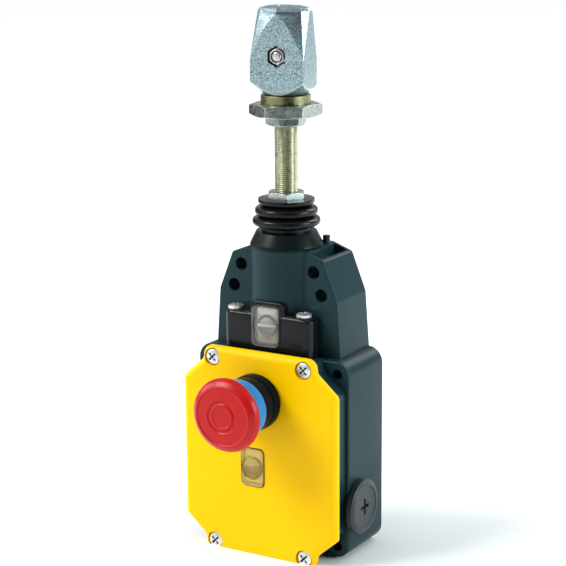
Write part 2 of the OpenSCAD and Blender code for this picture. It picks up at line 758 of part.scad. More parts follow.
module clamp_head() color([0.6, 0.66, 0.68]) {
    straight_z = 17.5;
    in_head(head_z) difference() {
        intersection() {
            hull() {
                linear_extrude(straight_z) head_low_plan();
                linear_extrude(head_h - 2.4) head_top_plan();
                linear_extrude(head_h - 1) scale([0.86, 0.84]) head_top_plan();
                linear_extrude(head_h) scale([0.5, 0.5]) head_top_plan();
            }
            // Cone that gives the lower edge its arc
            cylinder(r1 = head_front, r2 = head_front + head_h / 0.88, h = head_h);
        }
        // Seat of the swivel spigot, its circlip and the rod's end
        translate([0, 0, -1]) cylinder(r = spigot_r + run_clear, h = spigot_top - head_z + 1.2);
        translate([0, 0, spigot_top - head_z - 2.8]) cylinder(r = spigot_r + 1.2, h = 2);
        cylinder(r = rod_r + 0.6, h = rope_z - head_z);
        // Rope bore and the wedge's slot beside it
        translate([0, 0, bolt_z + bolt_r + 0.5]) cylinder(r = rope_r, h = head_h);
        translate([-wedge_w / 2 - fixed_clear, 1.2, wedge_z - head_z - 0.2])
            cube([wedge_w + 2 * fixed_clear, rope_r + wedge_t - 1.2 + fixed_clear, wedge_slot_h]);
        // Clamp bolt, and the hexagonal pocket of its nut in the front face
        translate([0, head_rear + 1, bolt_z]) rotate([90, 0, 0])
            cylinder(r = bolt_r, h = head_front + head_rear + 2);
        translate([0, -head_front + 2.6, bolt_z]) rotate([90, 0, 0]) rotate([0, 0, 30])
            hex(clamp_nut_af + 1, 4);
    }
}

// Serrated wedge that grips the rope.
module rope_wedge() color([0.7, 0.68, 0.6]) in_head(wedge_z)
    translate([-wedge_w / 2, rope_r + 0.15, 0]) difference() {
        cube([wedge_w, wedge_t - 0.15, wedge_h]);
        for (k = [1 : 6]) translate([-1, 0, k * 2]) rotate([45, 0, 0]) cube([wedge_w + 2, 0.5, 0.5]);
    }

module clamp_bolt() color([0.75, 0.75, 0.74]) in_head(bolt_axis_z) rotate([90, 0, 0]) {
    difference() {
        union() {
            translate([0, 0, -head_rear - 3]) cylinder(r = 4.2, h = 3);
            translate([0, 0, -head_rear - eps]) cylinder(r = bolt_r, h = head_front + head_rear - 0.4);
            translate([0, 0, head_front - 0.4 - eps]) cylinder(r1 = bolt_r, r2 = bolt_r - 0.6, h = 0.6);
        }
        translate([0, 0, -head_rear - 4]) hex(4, 3);
    }
}

// Lock nut with a round collar on its hexagon.
module clamp_nut() color([0.75, 0.75, 0.74])
    in_head(bolt_axis_z) rotate([90, 0, 0]) translate([0, 0, head_front - 2.6]) difference() {
        union() {
            rotate([0, 0, 30]) hex(clamp_nut_af, 1.2);
            cylinder(r = clamp_nut_af / 2 - 0.3, h = 2.4);
        }
        translate([0, 0, -1]) cylinder(r = bolt_r, h = 5);
        translate([0, 0, 1.9]) cylinder(r = clamp_nut_af / 2 - 0.95, h = 1);
    }

// ---- Emergency-stop button ----

module estop_seal() color([0.05, 0.05, 0.05]) facing_front(0, estop_z, cover_front) difference() {
    cylinder(r = estop_collar_r - 0.6, h = seal_t);
    translate([0, 0, -1]) cylinder(r = estop_neck_r, h = seal_t + 2);
}

// Black collar with its threaded neck; the stem slides in its bore.
module estop_collar() color([0.08, 0.1, 0.11]) difference() {
    union() {
        facing_front(0, estop_z, neck_back)
            cylinder(r = estop_neck_r, h = collar_base - neck_back + eps);
        facing_front(0, estop_z, collar_base) rotate_extrude() polygon([
            [0, 0], [estop_collar_r, 0], [estop_collar_r, 4.4], [estop_collar_r - 0.5, 5],
            [estop_collar_r - 0.9, 5.2], [estop_collar_r - 0.9, 5.8],
            [estop_collar_r - 0.4, 6.2], [estop_collar_r - 0.4, estop_collar_h - 0.8],
            [estop_collar_r - 1, estop_collar_h], [0, estop_collar_h]
        ]);
    }
    facing_front(0, estop_z, neck_back - 1)
        cylinder(r = estop_stem_r + run_clear, h = estop_collar_front - neck_back + 2);
    facing_front(0, estop_z, spring_seat) cylinder(r = estop_stem_r + 4, h = estop_collar_h);
}

module estop_lock_nut() color([0.55, 0.55, 0.55])
    facing_front(0, estop_z, cover_inner - 3.5) difference() {
        hex(27, 3.5);
        translate([0, 0, -1]) cylinder(r = estop_neck_r, h = 6);
    }

module estop_ring() color([0.1, 0.5, 0.8]) facing_front(0, estop_z, estop_collar_front) difference() {
    union() {
        cylinder(r = estop_collar_r + 0.5, h = estop_ring_h - 1);
        translate([0, 0, estop_ring_h - 1 - eps])
            cylinder(r1 = estop_collar_r + 0.5, r2 = estop_collar_r - 0.4, h = 1);
    }
    translate([0, 0, -1]) cylinder(r = estop_stem_r + 4, h = estop_ring_h + 2);
}

module estop_spring() color([0.65, 0.65, 0.65]) facing_front(0, estop_z, spring_seat)
    coil_spring(estop_stem_r + 2, mushroom_back + mushroom_hollow - face_gap - spring_seat, 0.6, 7);

// Red mushroom head with rings on its face; its skirt passes over the blue ring.
module estop_mushroom() color([0.8, 0.12, 0.1]) facing_front(0, estop_z, mushroom_back)
    rotate_extrude() polygon([
        [0, mushroom_hollow], [estop_collar_r + 0.8, mushroom_hollow],
        [estop_collar_r + 0.8, 0], [mushroom_r - 1, 0],
        [mushroom_r - 0.2, 0.7], [mushroom_r, 2],
        [mushroom_r - 0.3, 3.8], [mushroom_r - 1.4, 5.2], [mushroom_r - 3, 6.2],
        [mushroom_r * 0.76, 6.9], [mushroom_r * 0.74, 6.5], [mushroom_r * 0.45, 7.3],
        [mushroom_r * 0.42, 6.8], [mushroom_r * 0.33, 6.9], [mushroom_r * 0.31, 7.4],
        [0, 7.6]
    ]);

module estop_stem() color([0.2, 0.2, 0.22])
    facing_front(0, estop_z, stem_back)
        cylinder(r = estop_stem_r, h = mushroom_back + mushroom_hollow - stem_back);

// Bar behind the stem that presses the plungers of both switch blocks.
module estop_crossbar() color([0.85, 0.85, 0.8])
    face_extrude(stem_back - crossbar_t, stem_back) translate([0, estop_z])
        rounded_rect(crossbar_w, 10, 3);

// ---- Switching parts ----

module each_block() {
    for (side = [0, 1]) mirror([side, 0, 0]) children();
}

// Two moulded contact blocks on the back wall.
module switch_blocks() color([0.16, 0.2, 0.3]) each_block() difference() {
    translate([block_gap, -switch_front, switch_z]) cube([switch_w, switch_front - back_wall, switch_h]);
    // Bore of the plunger
    facing_front(plunger_x, estop_z, switch_front - 16) cylinder(r = plunger_r + run_clear, h = 20);
    // Chamber of the contact bridge
    translate([block_gap + 3, -(switch_front - 10), estop_z - 3.2]) cube([switch_w - 5, 7.5, 6.4]);
    // Bore of the cam follower
    translate([0, -rod_d, cam_z + cam_h * 0.85]) rotate([0, 90, 0]) cylinder(r = 1.9, h = block_gap + 3);
    // Terminal pits
    for (z = [5, 12]) facing_front(block_gap + 6, switch_z + z, switch_front - 4) cylinder(r = 2.6, h = 6);
    for (z = [5, 12]) facing_front(block_gap + 15, switch_z + z, switch_front - 4)
        cylinder(r = 2.6, h = 6);
    // Fixing hole
    facing_front(block_gap + switch_w - 4, switch_z + switch_h - 2.9, back_wall - 1)
        cylinder(r = 1.6, h = 40);
}

module block_screws() color([0.75, 0.75, 0.72]) each_block()
    facing_front(block_gap + switch_w - 4, switch_z + switch_h - 2.9, switch_front)
        pan_screw(3, 1.8, 1.5, switch_front - back_wall);

module contact_plungers() color([0.9, 0.9, 0.88]) each_block() {
    facing_front(plunger_x, estop_z, switch_front - 11)
        cylinder(r = plunger_r, h = stem_back - crossbar_t - face_gap - switch_front + 11);
}

// Bridges carried on the plungers' inner ends.
module contact_bridges() color([0.8, 0.6, 0.3]) each_block()
    translate([plunger_x - 6, -(switch_front - 11), estop_z - 2]) cube([12, 1, 4]);

// Fixed contact strips at the front of each chamber: pressing moves the bridges off them.
module fixed_contacts() color([0.8, 0.6, 0.3]) each_block() for (x = [-6, 3])
    translate([plunger_x + x, -(switch_front - 10), estop_z - 2]) cube([3, 0.8, 4]);

module terminal_screws() color([0.75, 0.75, 0.72]) each_block()
    for (x = [6, 15], z = [5, 12])
        facing_front(block_gap + x, switch_z + z, switch_front - 4)
            intersection() {
                cylinder(r = 2.5, h = 1.6);
                difference() {
                    cylinder(r = 3, h = 3);
                    translate([-3, -0.4, 1]) cube([6, 0.8, 3]);
                }
            }

module earth_screw() color([0.75, 0.72, 0.5]) facing_front(-22, -34, back_wall + 2)
    union() {
        pan_screw(3.5, 2, 2, 2);
        translate([0, 0, -2]) hex(9, 2 + eps);
    }

housing();
cover_gasket();
cover();
cover_screws();
cover_window();
cover_indicator();
window_block();
window_block_screws();
tower_window();
tower_indicator();
side_entry_plugs();
entry_plug_seals();
guide_bush();
tower_cap();
bellows();
main_spring();
spring_plate();
plate_nut();
pull_rod();
cam_sleeve();
cam_circlip();
cam_followers();
lower_jam_nut();
upper_jam_nut();
tension_nut();
swivel_collar();
collar_circlip();
clamp_head();
rope_wedge();
clamp_bolt();
clamp_nut();
estop_seal();
estop_collar();
estop_lock_nut();
estop_ring();
estop_spring();
estop_mushroom();
estop_stem();
estop_crossbar();
switch_blocks();
block_screws();
contact_plungers();
contact_bridges();
fixed_contacts();
terminal_screws();
earth_screw();
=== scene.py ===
import json
import math

import bmesh
import bpy
import numpy as np
from mathutils import Matrix, Vector

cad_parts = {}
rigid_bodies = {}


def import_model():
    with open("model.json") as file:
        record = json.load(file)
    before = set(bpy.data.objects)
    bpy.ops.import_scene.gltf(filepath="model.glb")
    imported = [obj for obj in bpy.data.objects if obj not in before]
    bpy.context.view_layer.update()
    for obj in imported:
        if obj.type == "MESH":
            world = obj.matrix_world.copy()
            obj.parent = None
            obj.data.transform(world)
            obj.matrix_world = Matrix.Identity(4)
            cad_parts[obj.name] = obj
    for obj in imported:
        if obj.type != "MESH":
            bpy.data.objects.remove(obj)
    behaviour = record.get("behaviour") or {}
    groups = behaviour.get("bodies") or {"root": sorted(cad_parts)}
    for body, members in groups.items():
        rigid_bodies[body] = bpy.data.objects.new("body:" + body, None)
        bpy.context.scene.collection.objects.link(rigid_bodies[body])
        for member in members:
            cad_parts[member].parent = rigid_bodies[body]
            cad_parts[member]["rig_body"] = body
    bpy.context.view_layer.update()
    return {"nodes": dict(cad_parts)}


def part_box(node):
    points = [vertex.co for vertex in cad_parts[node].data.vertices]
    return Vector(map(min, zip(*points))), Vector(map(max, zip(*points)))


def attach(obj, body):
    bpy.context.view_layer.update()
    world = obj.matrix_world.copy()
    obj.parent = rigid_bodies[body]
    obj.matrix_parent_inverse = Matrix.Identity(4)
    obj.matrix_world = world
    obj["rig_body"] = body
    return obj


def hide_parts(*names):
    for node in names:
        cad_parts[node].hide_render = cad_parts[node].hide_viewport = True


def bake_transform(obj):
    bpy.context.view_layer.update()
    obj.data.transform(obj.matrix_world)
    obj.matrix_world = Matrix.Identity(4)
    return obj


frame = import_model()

# ---- Housing ----
# One zinc die casting with a semi-gloss black powder coat: box, front collar, spring tower and
# its two wings. It screws to the wall through the four holes in the wings.

MM = 0.001


class Signal:
    """A shader socket that can be used in sums: each operator adds its Math node."""

    def __init__(self, finish, socket):
        self.finish, self.socket = finish, socket

    def maths(self, operation, *values):
        return self.finish.node("ShaderNodeMath", {"operation": operation}, dict(enumerate(values)))

    def __add__(self, other):
        return self.maths("ADD", self, other)

    def __mul__(self, other):
        return self.maths("MULTIPLY", self, other)

    __radd__, __rmul__ = __add__, __mul__


class Finish:
    """A material, its Principled shader, and one method that adds any other node."""

    def __init__(self, name, **constants):
        self.material = bpy.data.materials.new(name)
        self.material.use_nodes = True
        self.tree = self.material.node_tree
        self.shader = self.tree.nodes["Principled BSDF"]
        for key, value in constants.items():
            self.set(key.replace("_", " "), value)

    def node(self, kind, settings, values, out=0):
        """Adds a node of a kind, with its settings first and then its sockets' values or links."""
        made = self.tree.nodes.new(kind)
        for key, value in settings.items():
            setattr(made, key, value)
        for key, value in values.items():
            self.feed(made.inputs[key], value)
        return Signal(self, made.outputs[out])

    def feed(self, socket, value):
        if isinstance(value, Signal):
            self.tree.links.new(value.socket, socket)
        else:
            socket.default_value = value

    def set(self, name, value):
        self.feed(self.shader.inputs[name], value)

    def place(self):
        """The piece's own coordinates."""
        return self.node("ShaderNodeTexCoord", {}, {}, "Object")

    def grain(self, scale, detail=2.0, roughness=0.5):
        """Noise with about scale lumps to a metre."""
        return self.node("ShaderNodeTexNoise", {}, {
            "Vector": self.place(), "Scale": scale, "Detail": detail, "Roughness": roughness})

    def shades(self, share, low, high):
        """A colour between low and high, by share."""
        return self.node("ShaderNodeMix", {"data_type": "RGBA"}, {
            0: share, 6: (*low, 1), 7: (*high, 1)}, 2)

    def contrast(self, value, low, high):
        """value stretched so that low becomes 0 and high becomes 1."""
        return self.node("ShaderNodeMapRange", {}, {"Value": value, "From Min": low, "From Max": high})

    def relief(self, height, distance, strength=1.0):
        """Bumps of a height signal, over a distance in metres."""
        self.set("Normal", self.node("ShaderNodeBump", {}, {
            "Height": height, "Distance": distance, "Strength": strength}))


def add_piece(name, mesh, finish, *nodes):
    """Puts a mesh in the scene as a piece that stands for CAD nodes and rides on their body."""
    piece = bpy.data.objects.new(name, mesh)
    bpy.context.scene.collection.objects.link(piece)
    mesh.materials.clear()
    mesh.materials.append(finish.material)
    if nodes:
        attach(piece, frame["nodes"][nodes[0]]["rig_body"])
        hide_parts(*nodes)
    return piece


def smooth_below(mesh, degrees):
    """Shades a mesh smooth, except over edges that turn more than so many degrees."""
    mesh.polygons.foreach_set("use_smooth", np.ones(len(mesh.polygons), bool))
    mesh.set_sharp_from_angle(angle=math.radians(degrees))


def coat_finish(name, dark, light, rough, gloss=0.3):
    """Powder coat or moulded plastic: a faint change of tone and a fine orange-peel surface."""
    finish = Finish(name, IOR=1.5, Specular_IOR_Level=gloss)
    peel = finish.grain(1100, 3, 0.55)
    finish.set("Base Color", finish.shades(finish.grain(28, 3), dark, light))
    finish.set("Roughness", rough + 0.12 * peel)
    finish.relief(peel, 0.00007, 0.6)
    return finish


least_radius = 0.3 * MM
corner_steps = 9


def filleted(corners, radii, steps):
    """Outline whose corners are arcs. Each arc runs between the points where the two sides leave
    it, turned evenly round its centre, which lies on the line that halves the corner."""
    corners, radii = np.asarray(corners, float), np.asarray(radii, float)[:, None]
    back = np.roll(corners, 1, 0) - corners
    ahead = np.roll(corners, -1, 0) - corners
    back /= np.linalg.norm(back, axis=1, keepdims=True)
    ahead /= np.linalg.norm(ahead, axis=1, keepdims=True)
    half = np.arccos(np.clip((back * ahead).sum(1, keepdims=True), -1, 1)) / 2
    middle = back + ahead
    middle /= np.linalg.norm(middle, axis=1, keepdims=True)
    centre = corners + middle * radii / np.sin(half)
    first = corners + back * radii / np.tan(half) - centre
    last = corners + ahead * radii / np.tan(half) - centre
    turn = (np.pi - 2 * half)[:, :, None]
    share = np.linspace(0, 1, steps)[None, :, None]
    arc = np.sin((1 - share) * turn) * first[:, None] + np.sin(share * turn) * last[:, None]
    return (centre[:, None] + arc / np.sin(turn)).reshape(-1, 2)


def inset_outline(corners, radii, inset, steps):
    """The same outline moved inwards: each side moves in by inset, outward corners lose that much
    radius and inward corners gain it."""
    corners = np.asarray(corners, float)
    along = np.roll(corners, -1, 0) - corners
    along /= np.linalg.norm(along, axis=1, keepdims=True)
    inward = np.stack([-along[:, 1], along[:, 0]], 1)
    before = np.roll(inward, 1, 0)
    moved = corners + inset * (before + inward) / (1 + (before * inward).sum(1, keepdims=True))
    turn = np.roll(along, 1, 0)
    outward = turn[:, 0] * along[:, 1] - turn[:, 1] * along[:, 0] > 0
    return filleted(moved, np.maximum(np.where(outward, radii - inset, radii + inset), least_radius), steps)


def skin(name, rings, cap_first=True, cap_last=True):
    """A mesh over an array of closed rings (ring, point, xyz): four-sided faces between each ring
    and the next, and one flat face on each open end."""
    count, size = rings.shape[:2]
    ring, point = np.meshgrid(np.arange(count - 1), np.arange(size), indexing="ij")
    ahead = (point + 1) % size
    faces = np.stack([
        ring * size + point, ring * size + ahead, (ring + 1) * size + ahead, (ring + 1) * size + point,
    ], -1).reshape(-1, 4).tolist()
    if cap_first:
        faces.append(list(range(size))[::-1])
    if cap_last:
        faces.append([(count - 1) * size + i for i in range(size)])
    mesh = bpy.data.meshes.new(name)
    mesh.from_pydata(rings.reshape(-1, 3).tolist(), [], faces)
    cage = bmesh.new()
    cage.from_mesh(mesh)
    bmesh.ops.remove_doubles(cage, verts=cage.verts, dist=1e-6)
    bmesh.ops.dissolve_degenerate(cage, edges=cage.edges, dist=1e-7)
    bmesh.ops.recalc_face_normals(cage, faces=cage.faces)
    cage.to_mesh(mesh)
    cage.free()
    return mesh


def at_depth(outline, depth):
    """Points of a front-view outline (x, z) at a distance in front of the wall."""
    return np.stack([outline[:, 0], np.full(len(outline), -depth), outline[:, 1]], 1)


def carved(mesh, cutters, operation="DIFFERENCE"):
    """The mesh with the cutters' solids taken out of it, or joined to it by "UNION"."""
    piece = bpy.data.objects.new("blank", mesh)
    bpy.context.scene.collection.objects.link(piece)
    tools = []
    for cutter in cutters:
        tool = bpy.data.objects.new("cutter", cutter)
        bpy.context.scene.collection.objects.link(tool)
        tools.append(tool)
        cut = piece.modifiers.new("cut", "BOOLEAN")
        cut.operation, cut.solver, cut.object = operation, "EXACT", tool
    depsgraph = bpy.context.evaluated_depsgraph_get()
    made = bpy.data.meshes.new_from_object(piece.evaluated_get(depsgraph))
    for item in [piece, *tools]:
        bpy.data.objects.remove(item)
    cage = bmesh.new()
    cage.from_mesh(made)
    bmesh.ops.remove_doubles(cage, verts=cage.verts, dist=2e-6)
    cage.to_mesh(made)
    cage.free()
    return made


def disc_outline(x, z, radius, count=64):
    """A circle: the cosine and sine of the turn, times the radius, about a centre."""
    turn = np.linspace(0, 2 * np.pi, count, endpoint=False)
    return np.stack([x + radius * np.cos(turn), z + radius * np.sin(turn)], 1)


def plate_outline(x, z, width, height, radius):
    """A rectangle with round corners, about a centre."""
    w, h = width / 2, height / 2
    corners = [(x + w, z - h), (x + w, z + h), (x - w, z + h), (x - w, z - h)]
    return filleted(corners, [radius] * 4, corner_steps)


def plug_of(outline, back, front):
    """A cutter: a front-view outline carried straight from one depth to another."""
    return skin("cutter", np.array([at_depth(outline, back), at_depth(outline, front)]))


def rolled(corners, radii, back, front, edge, inset=0.0, steps=6):
    """A prism between two depths whose front rim is a quarter circle of size edge: at each turn
    the outline moves in by edge times 1 less the cosine, and stops short by 1 less the sine."""
    rings = [at_depth(inset_outline(corners, radii, inset, corner_steps), back)]
    for turn in np.linspace(0, np.pi / 2, steps):
        outline = inset_outline(corners, radii, inset + edge * (1 - math.cos(turn)), corner_steps)
        rings.append(at_depth(outline, front - edge * (1 - math.sin(turn))))
    return skin("rolled", np.array(rings))


def post(x, y, radius, low, high):
    """An upright cylinder: the same circle at its two heights."""
    outline = disc_outline(x, y, radius, 96)
    return skin("post", np.array([np.insert(outline, 2, z, axis=1) for z in (low, high)]))


def mirrored(points):
    """Outline corners on the right, followed by their mirror images on the left."""
    points = np.asarray(points, float)
    return np.concatenate([points, (points * [-1, 1])[::-1]])


def all_round(corners):
    """An outline from its upper right quarter: mirrored to the left, turned half round, and that
    mirrored back to the right."""
    corners = np.asarray(corners, float)
    flip = np.array([-1, 1])
    return np.concatenate([corners, (corners * flip)[::-1], -corners, (corners * -flip)[::-1]])


cover_low, cover_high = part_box("cover")
cover_face, cover_back = -cover_low.y, -cover_high.y
cover_half, cover_tab, cover_top = cover_high.x, 33 * MM, cover_high.z
cover_corners = all_round([(cover_half, 37.5 * MM), (cover_tab, 48.3 * MM), (cover_tab, cover_top)])
cover_radii = np.array([3, 4, 5, 5, 4, 3] * 2) * MM

box_half_w, box_half_h, box_front, collar_front = 44.5 * MM, 52 * MM, 36 * MM, 45.4 * MM
box_corner, box_edge, collar_edge, collar_inset = 8 * MM, 1.0 * MM, 0.5 * MM, 2.6 * MM
tower_r, tower_y, tower_top, wing_front = 18.5 * MM, -20.7 * MM, 105 * MM, 30.5 * MM
tower_bore, bush_bore, wing_edge = 14 * MM, 11.2 * MM, 0.8 * MM
box_outline = [(box_half_w, -box_half_h), (box_half_w, box_half_h),
               (-box_half_w, box_half_h), (-box_half_w, -box_half_h)]
wing_outline = mirrored(np.array([(36.7, 49), (36.7, 52), (34.6, 81), (26.7, 101), (15.7, 105)]) * MM)
wing_radii = np.array([0.3, 0.3, 4, 2, 0.5] + [0.5, 2, 4, 0.3, 0.3]) * MM
# The top of each wing is sunk between its walls
wings = carved(rolled(wing_outline, wing_radii, 0, wing_front, wing_edge), [
    skin("cutter", np.array([
        [(side * x * MM, -y * MM, z) for x, y in ((17.5, 2), (25, 2), (25, 28.5), (17.5, 28.5))]
        for z in (99.5 * MM, 110 * MM)])) for side in (-1, 1)])
tower = post(0, tower_y, tower_r, 44 * MM, tower_top)
stub = post(15 * MM, -6 * MM, 1.9 * MM, 95 * MM, 109 * MM)
casting = carved(rolled(box_outline, np.full(4, box_corner), 0, box_front, box_edge), [
    rolled(cover_corners, cover_radii, box_front - MM, collar_front, collar_edge, collar_inset),
    wings, tower, stub], "UNION")
cavity = all_round(np.array([(38.5, 34.5), (27.9, 44)]) * MM)
entry_z, entry_depth, entry_r = -25.3 * MM, 26.7 * MM, 9.25 * MM
side_entry = skin("cutter", np.array([
    [(x, -entry_depth + a, entry_z + b) for a, b in disc_outline(0, 0, entry_r)] for x in (-0.05, 0.05)]))
window_z = 67 * MM
through = [(21.3, 94.9, 3.4), (25.6, 83.5, 3.4), (37.9, 45.4, 2.75), (37.9, -45.4, 2.75)]
cutters = [
    plug_of(cavity, 4 * MM, collar_front + MM), post(0, tower_y, tower_bore, 49.5 * MM, 120 * MM),
    post(0, tower_y, bush_bore, 43 * MM, 50.5 * MM), side_entry,
    post(0, -entry_depth, entry_r, -box_half_h - MM, -34 * MM),
    plug_of(plate_outline(0, window_z, 9 * MM, 15 * MM, 0.2 * MM), 25.7 * MM, 40 * MM)]
for side in (-1, 1):
    # Through holes, cover screw holes, block screw holes and the pockets in the wings' backs
    cutters += [plug_of(disc_outline(side * x * MM, z * MM, r * MM), -MM, 37 * MM) for x, z, r in through]
    cutters += [plug_of(disc_outline(side * 26.7 * MM, z * MM, 2 * MM, 24), 31.6 * MM, collar_front + MM)
                for z in (-49.65, 49.65)]
    cutters.append(post(side * 20 * MM, -37.9 * MM, 1.6 * MM, 45 * MM, 53 * MM))
    wing_pocket = plate_outline(side * 26.1 * MM, window_z, 9 * MM, 17 * MM, 0.5 * MM)
    cutters.append(plug_of(wing_pocket, -MM, 26.5 * MM))
housing_mesh = carved(casting, cutters)
smooth_below(housing_mesh, 25)

powder_coat = coat_finish("black powder coat", (0.006, 0.026, 0.031), (0.010, 0.036, 0.043), 0.30, 0.16)
add_piece("housing_shown", housing_mesh, powder_coat, "housing")

# ---- Tower window block ----
# Black moulded plastic, held on the tower's front by two zinc-plated pan-head screws. Its top
# and corners are rounded, and it holds the clear tower window.

flat_angle = 0.4


def round_edges(piece, radius, steps=3, degrees=32):
    """Rounds the edges that turn more than so many degrees."""
    bevel = piece.modifiers.new("rounded edges", "BEVEL")
    bevel.width, bevel.segments = radius, steps
    bevel.limit_method, bevel.angle_limit = "ANGLE", math.radians(degrees)
    bevel.use_clamp_overlap = False
    bevel.harden_normals = True
    return piece


def eased(node, finish, radius, steps=3, degrees=32):
    """A copy of a CAD node with its doubles merged. Unless radius is 0, its flats are joined and
    its edges rounded."""
    mesh = bpy.data.meshes.new(node + "_eased")
    cage = bmesh.new()
    cage.from_mesh(frame["nodes"][node].data)
    bmesh.ops.remove_doubles(cage, verts=cage.verts, dist=2e-6)
    bmesh.ops.dissolve_degenerate(cage, edges=cage.edges, dist=1e-6)
    if radius:
        bmesh.ops.dissolve_limit(
            cage, angle_limit=math.radians(flat_angle), verts=cage.verts, edges=cage.edges)
    cage.to_mesh(mesh)
    cage.free()
    smooth_below(mesh, degrees)
    piece = add_piece(node + "_shown", mesh, finish, node)
    return round_edges(piece, radius, steps, degrees) if radius else piece


def second_finish(mesh, finish, chosen):
    """Gives another finish to the faces whose centres pass a test on their (x, y, z) arrays."""
    centres = np.array([list(face.center) for face in mesh.polygons])
    slot = np.array([face.material_index for face in mesh.polygons])
    slot[chosen(*centres.T)] = len(mesh.materials)
    mesh.materials.append(finish.material)
    mesh.polygons.foreach_set("material_index", slot.astype(np.int32))


gloss_black = coat_finish("glossy black plastic", (0.003, 0.004, 0.005), (0.006, 0.008, 0.009), 0.14, 0.22)
eased("window_block", gloss_black, 0.7 * MM)

zinc_plate = Finish("zinc plate", Metallic=1.0)
zinc_mottle = zinc_plate.grain(420, 4, 0.6)
zinc_plate.set("Base Color", zinc_plate.shades(zinc_mottle, (0.40, 0.41, 0.41), (0.74, 0.74, 0.71)))
zinc_plate.set("Roughness", 0.16 + 0.22 * zinc_mottle)
zinc_plate.relief(zinc_plate.grain(2600, 2), 0.00004, 0.5)
bright_steel = Finish("bright zinc screws", Metallic=0.85)
screw_mottle = bright_steel.grain(900, 3)
bright_steel.set("Base Color", bright_steel.shades(screw_mottle, (0.62, 0.64, 0.64), (0.86, 0.87, 0.86)))
bright_steel.set("Roughness", 0.26 + 0.12 * screw_mottle)
# Black for the screws' cross recesses, the clamp head's nut pocket and the nut's bore: painted shade
painted_shade_black = Finish("painted recess shade", Base_Color=(0.012, 0.013, 0.013, 1), Roughness=0.6)
for node in ("window_block_screws", "cover_screws", "block_screws", "terminal_screws"):
    eased(node, bright_steel, 0)
screw_head_r, cross_r, cross_top = 4 * MM, 2.9 * MM, 0.7 * MM
top_low, top_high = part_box("window_block_screws")
top_x, top_y = top_high.x - screw_head_r, (top_low.y + top_high.y) / 2
# The cross recesses of the screw heads are painted black: painted shade in the recesses
second_finish(bpy.data.objects["window_block_screws_shown"].data, painted_shade_black, lambda x, y, z: (
    (np.hypot(np.abs(x) - top_x, y - top_y) < cross_r) & (z < top_high.z - cross_top)
    & (z > top_high.z - 1.9 * MM)))
front_low, front_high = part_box("cover_screws")
front_x, front_z = front_high.x - screw_head_r, front_high.z - screw_head_r
second_finish(bpy.data.objects["cover_screws_shown"].data, painted_shade_black, lambda x, y, z: (
    (np.hypot(np.abs(x) - front_x, np.abs(z) - front_z) < cross_r) & (y > front_low.y + cross_top)
    & (y < front_low.y + 2 * MM)))

# ---- Cover ----
# Yellow moulded plastic with a rolled edge and four screw tabs, pressed onto a black rubber
# gasket. The screws sit in shallow counterbores; the button and the window pass through it.

cover_edge = 3.5 * MM
cover_mesh = rolled(cover_corners, cover_radii, cover_back, cover_face, cover_edge, steps=9)

button_low, button_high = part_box("estop_mushroom")
button_x = (button_low.x + button_high.x) / 2
button_z = (button_low.z + button_high.z) / 2
lens_low, lens_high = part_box("cover_window")
lens_x = (lens_low.x + lens_high.x) / 2
lens_z = (lens_low.z + lens_high.z) / 2
lens_w, lens_h, lens_corner, lens_gap = 13.3 * MM, 20.1 * MM, 2.7 * MM, 0.5 * MM
collar_neck, counterbore, cover_wall, cover_rim = 11.1 * MM, 4.6 * MM, 2.5 * MM, 6.7 * MM

cutters = [
    plug_of(disc_outline(x * front_x, z * front_z, counterbore), cover_face - cover_wall, cover_face + MM)
    for x in (-1, 1) for z in (-1, 1)
]
button_hole = disc_outline(button_x, button_z, collar_neck, 72)
lens_hole = plate_outline(lens_x, lens_z, lens_w + lens_gap, lens_h + lens_gap, lens_corner)
cutters += [plug_of(hole, cover_back - MM, cover_face + MM) for hole in (button_hole, lens_hole)]
inner_outline = inset_outline(cover_corners, cover_radii, cover_rim, corner_steps)
cutters.append(plug_of(inner_outline, cover_back - MM, cover_face - cover_wall))
cover_mesh = carved(cover_mesh, cutters)
smooth_below(cover_mesh, 28)

cover_yellow = Finish("yellow moulded plastic", IOR=1.49, Specular_IOR_Level=0.10)
cover_yellow.set("Base Color", cover_yellow.shades(
    cover_yellow.grain(14, 2), (0.95, 0.54, 0.0), (0.97, 0.59, 0.0)))
cover_yellow.set("Roughness", 0.30 + 0.10 * cover_yellow.grain(60, 3))
cover_yellow.relief(cover_yellow.grain(1500, 2), 0.00003, 0.5)
add_piece("cover_shown", cover_mesh, cover_yellow, "cover")

rubber = coat_finish("black rubber", (0.010, 0.010, 0.011), (0.018, 0.018, 0.019), 0.42)
for node in ("cover_gasket", "entry_plug_seals", "estop_seal"):
    eased(node, rubber, 0)

# ---- Windows ----
# Clear moulded lenses, each with a fine black cord round it: painted shade of the gap between lens and frame.
# Behind each stands a pale plate with a status disc: a dark ring round a grey face, with one light bar across
# it.

lens_tints = {"cover_window": ((0.92, 0.70, 0.20, 1), 0.34), "tower_window": ((0.62, 0.62, 0.56, 1), 0.14)}
for node, (tint, alpha) in lens_tints.items():
    clear_lens = Finish(node + " plastic", Base_Color=tint, Alpha=alpha, IOR=1.46)
    clear_lens.set("Roughness", 0.03 + 0.05 * clear_lens.grain(300, 2))
    eased(node, clear_lens, 0.4 * MM)


plate_t, ring_w, bar_t = 0.65 * MM, 1.5 * MM, 0.3 * MM


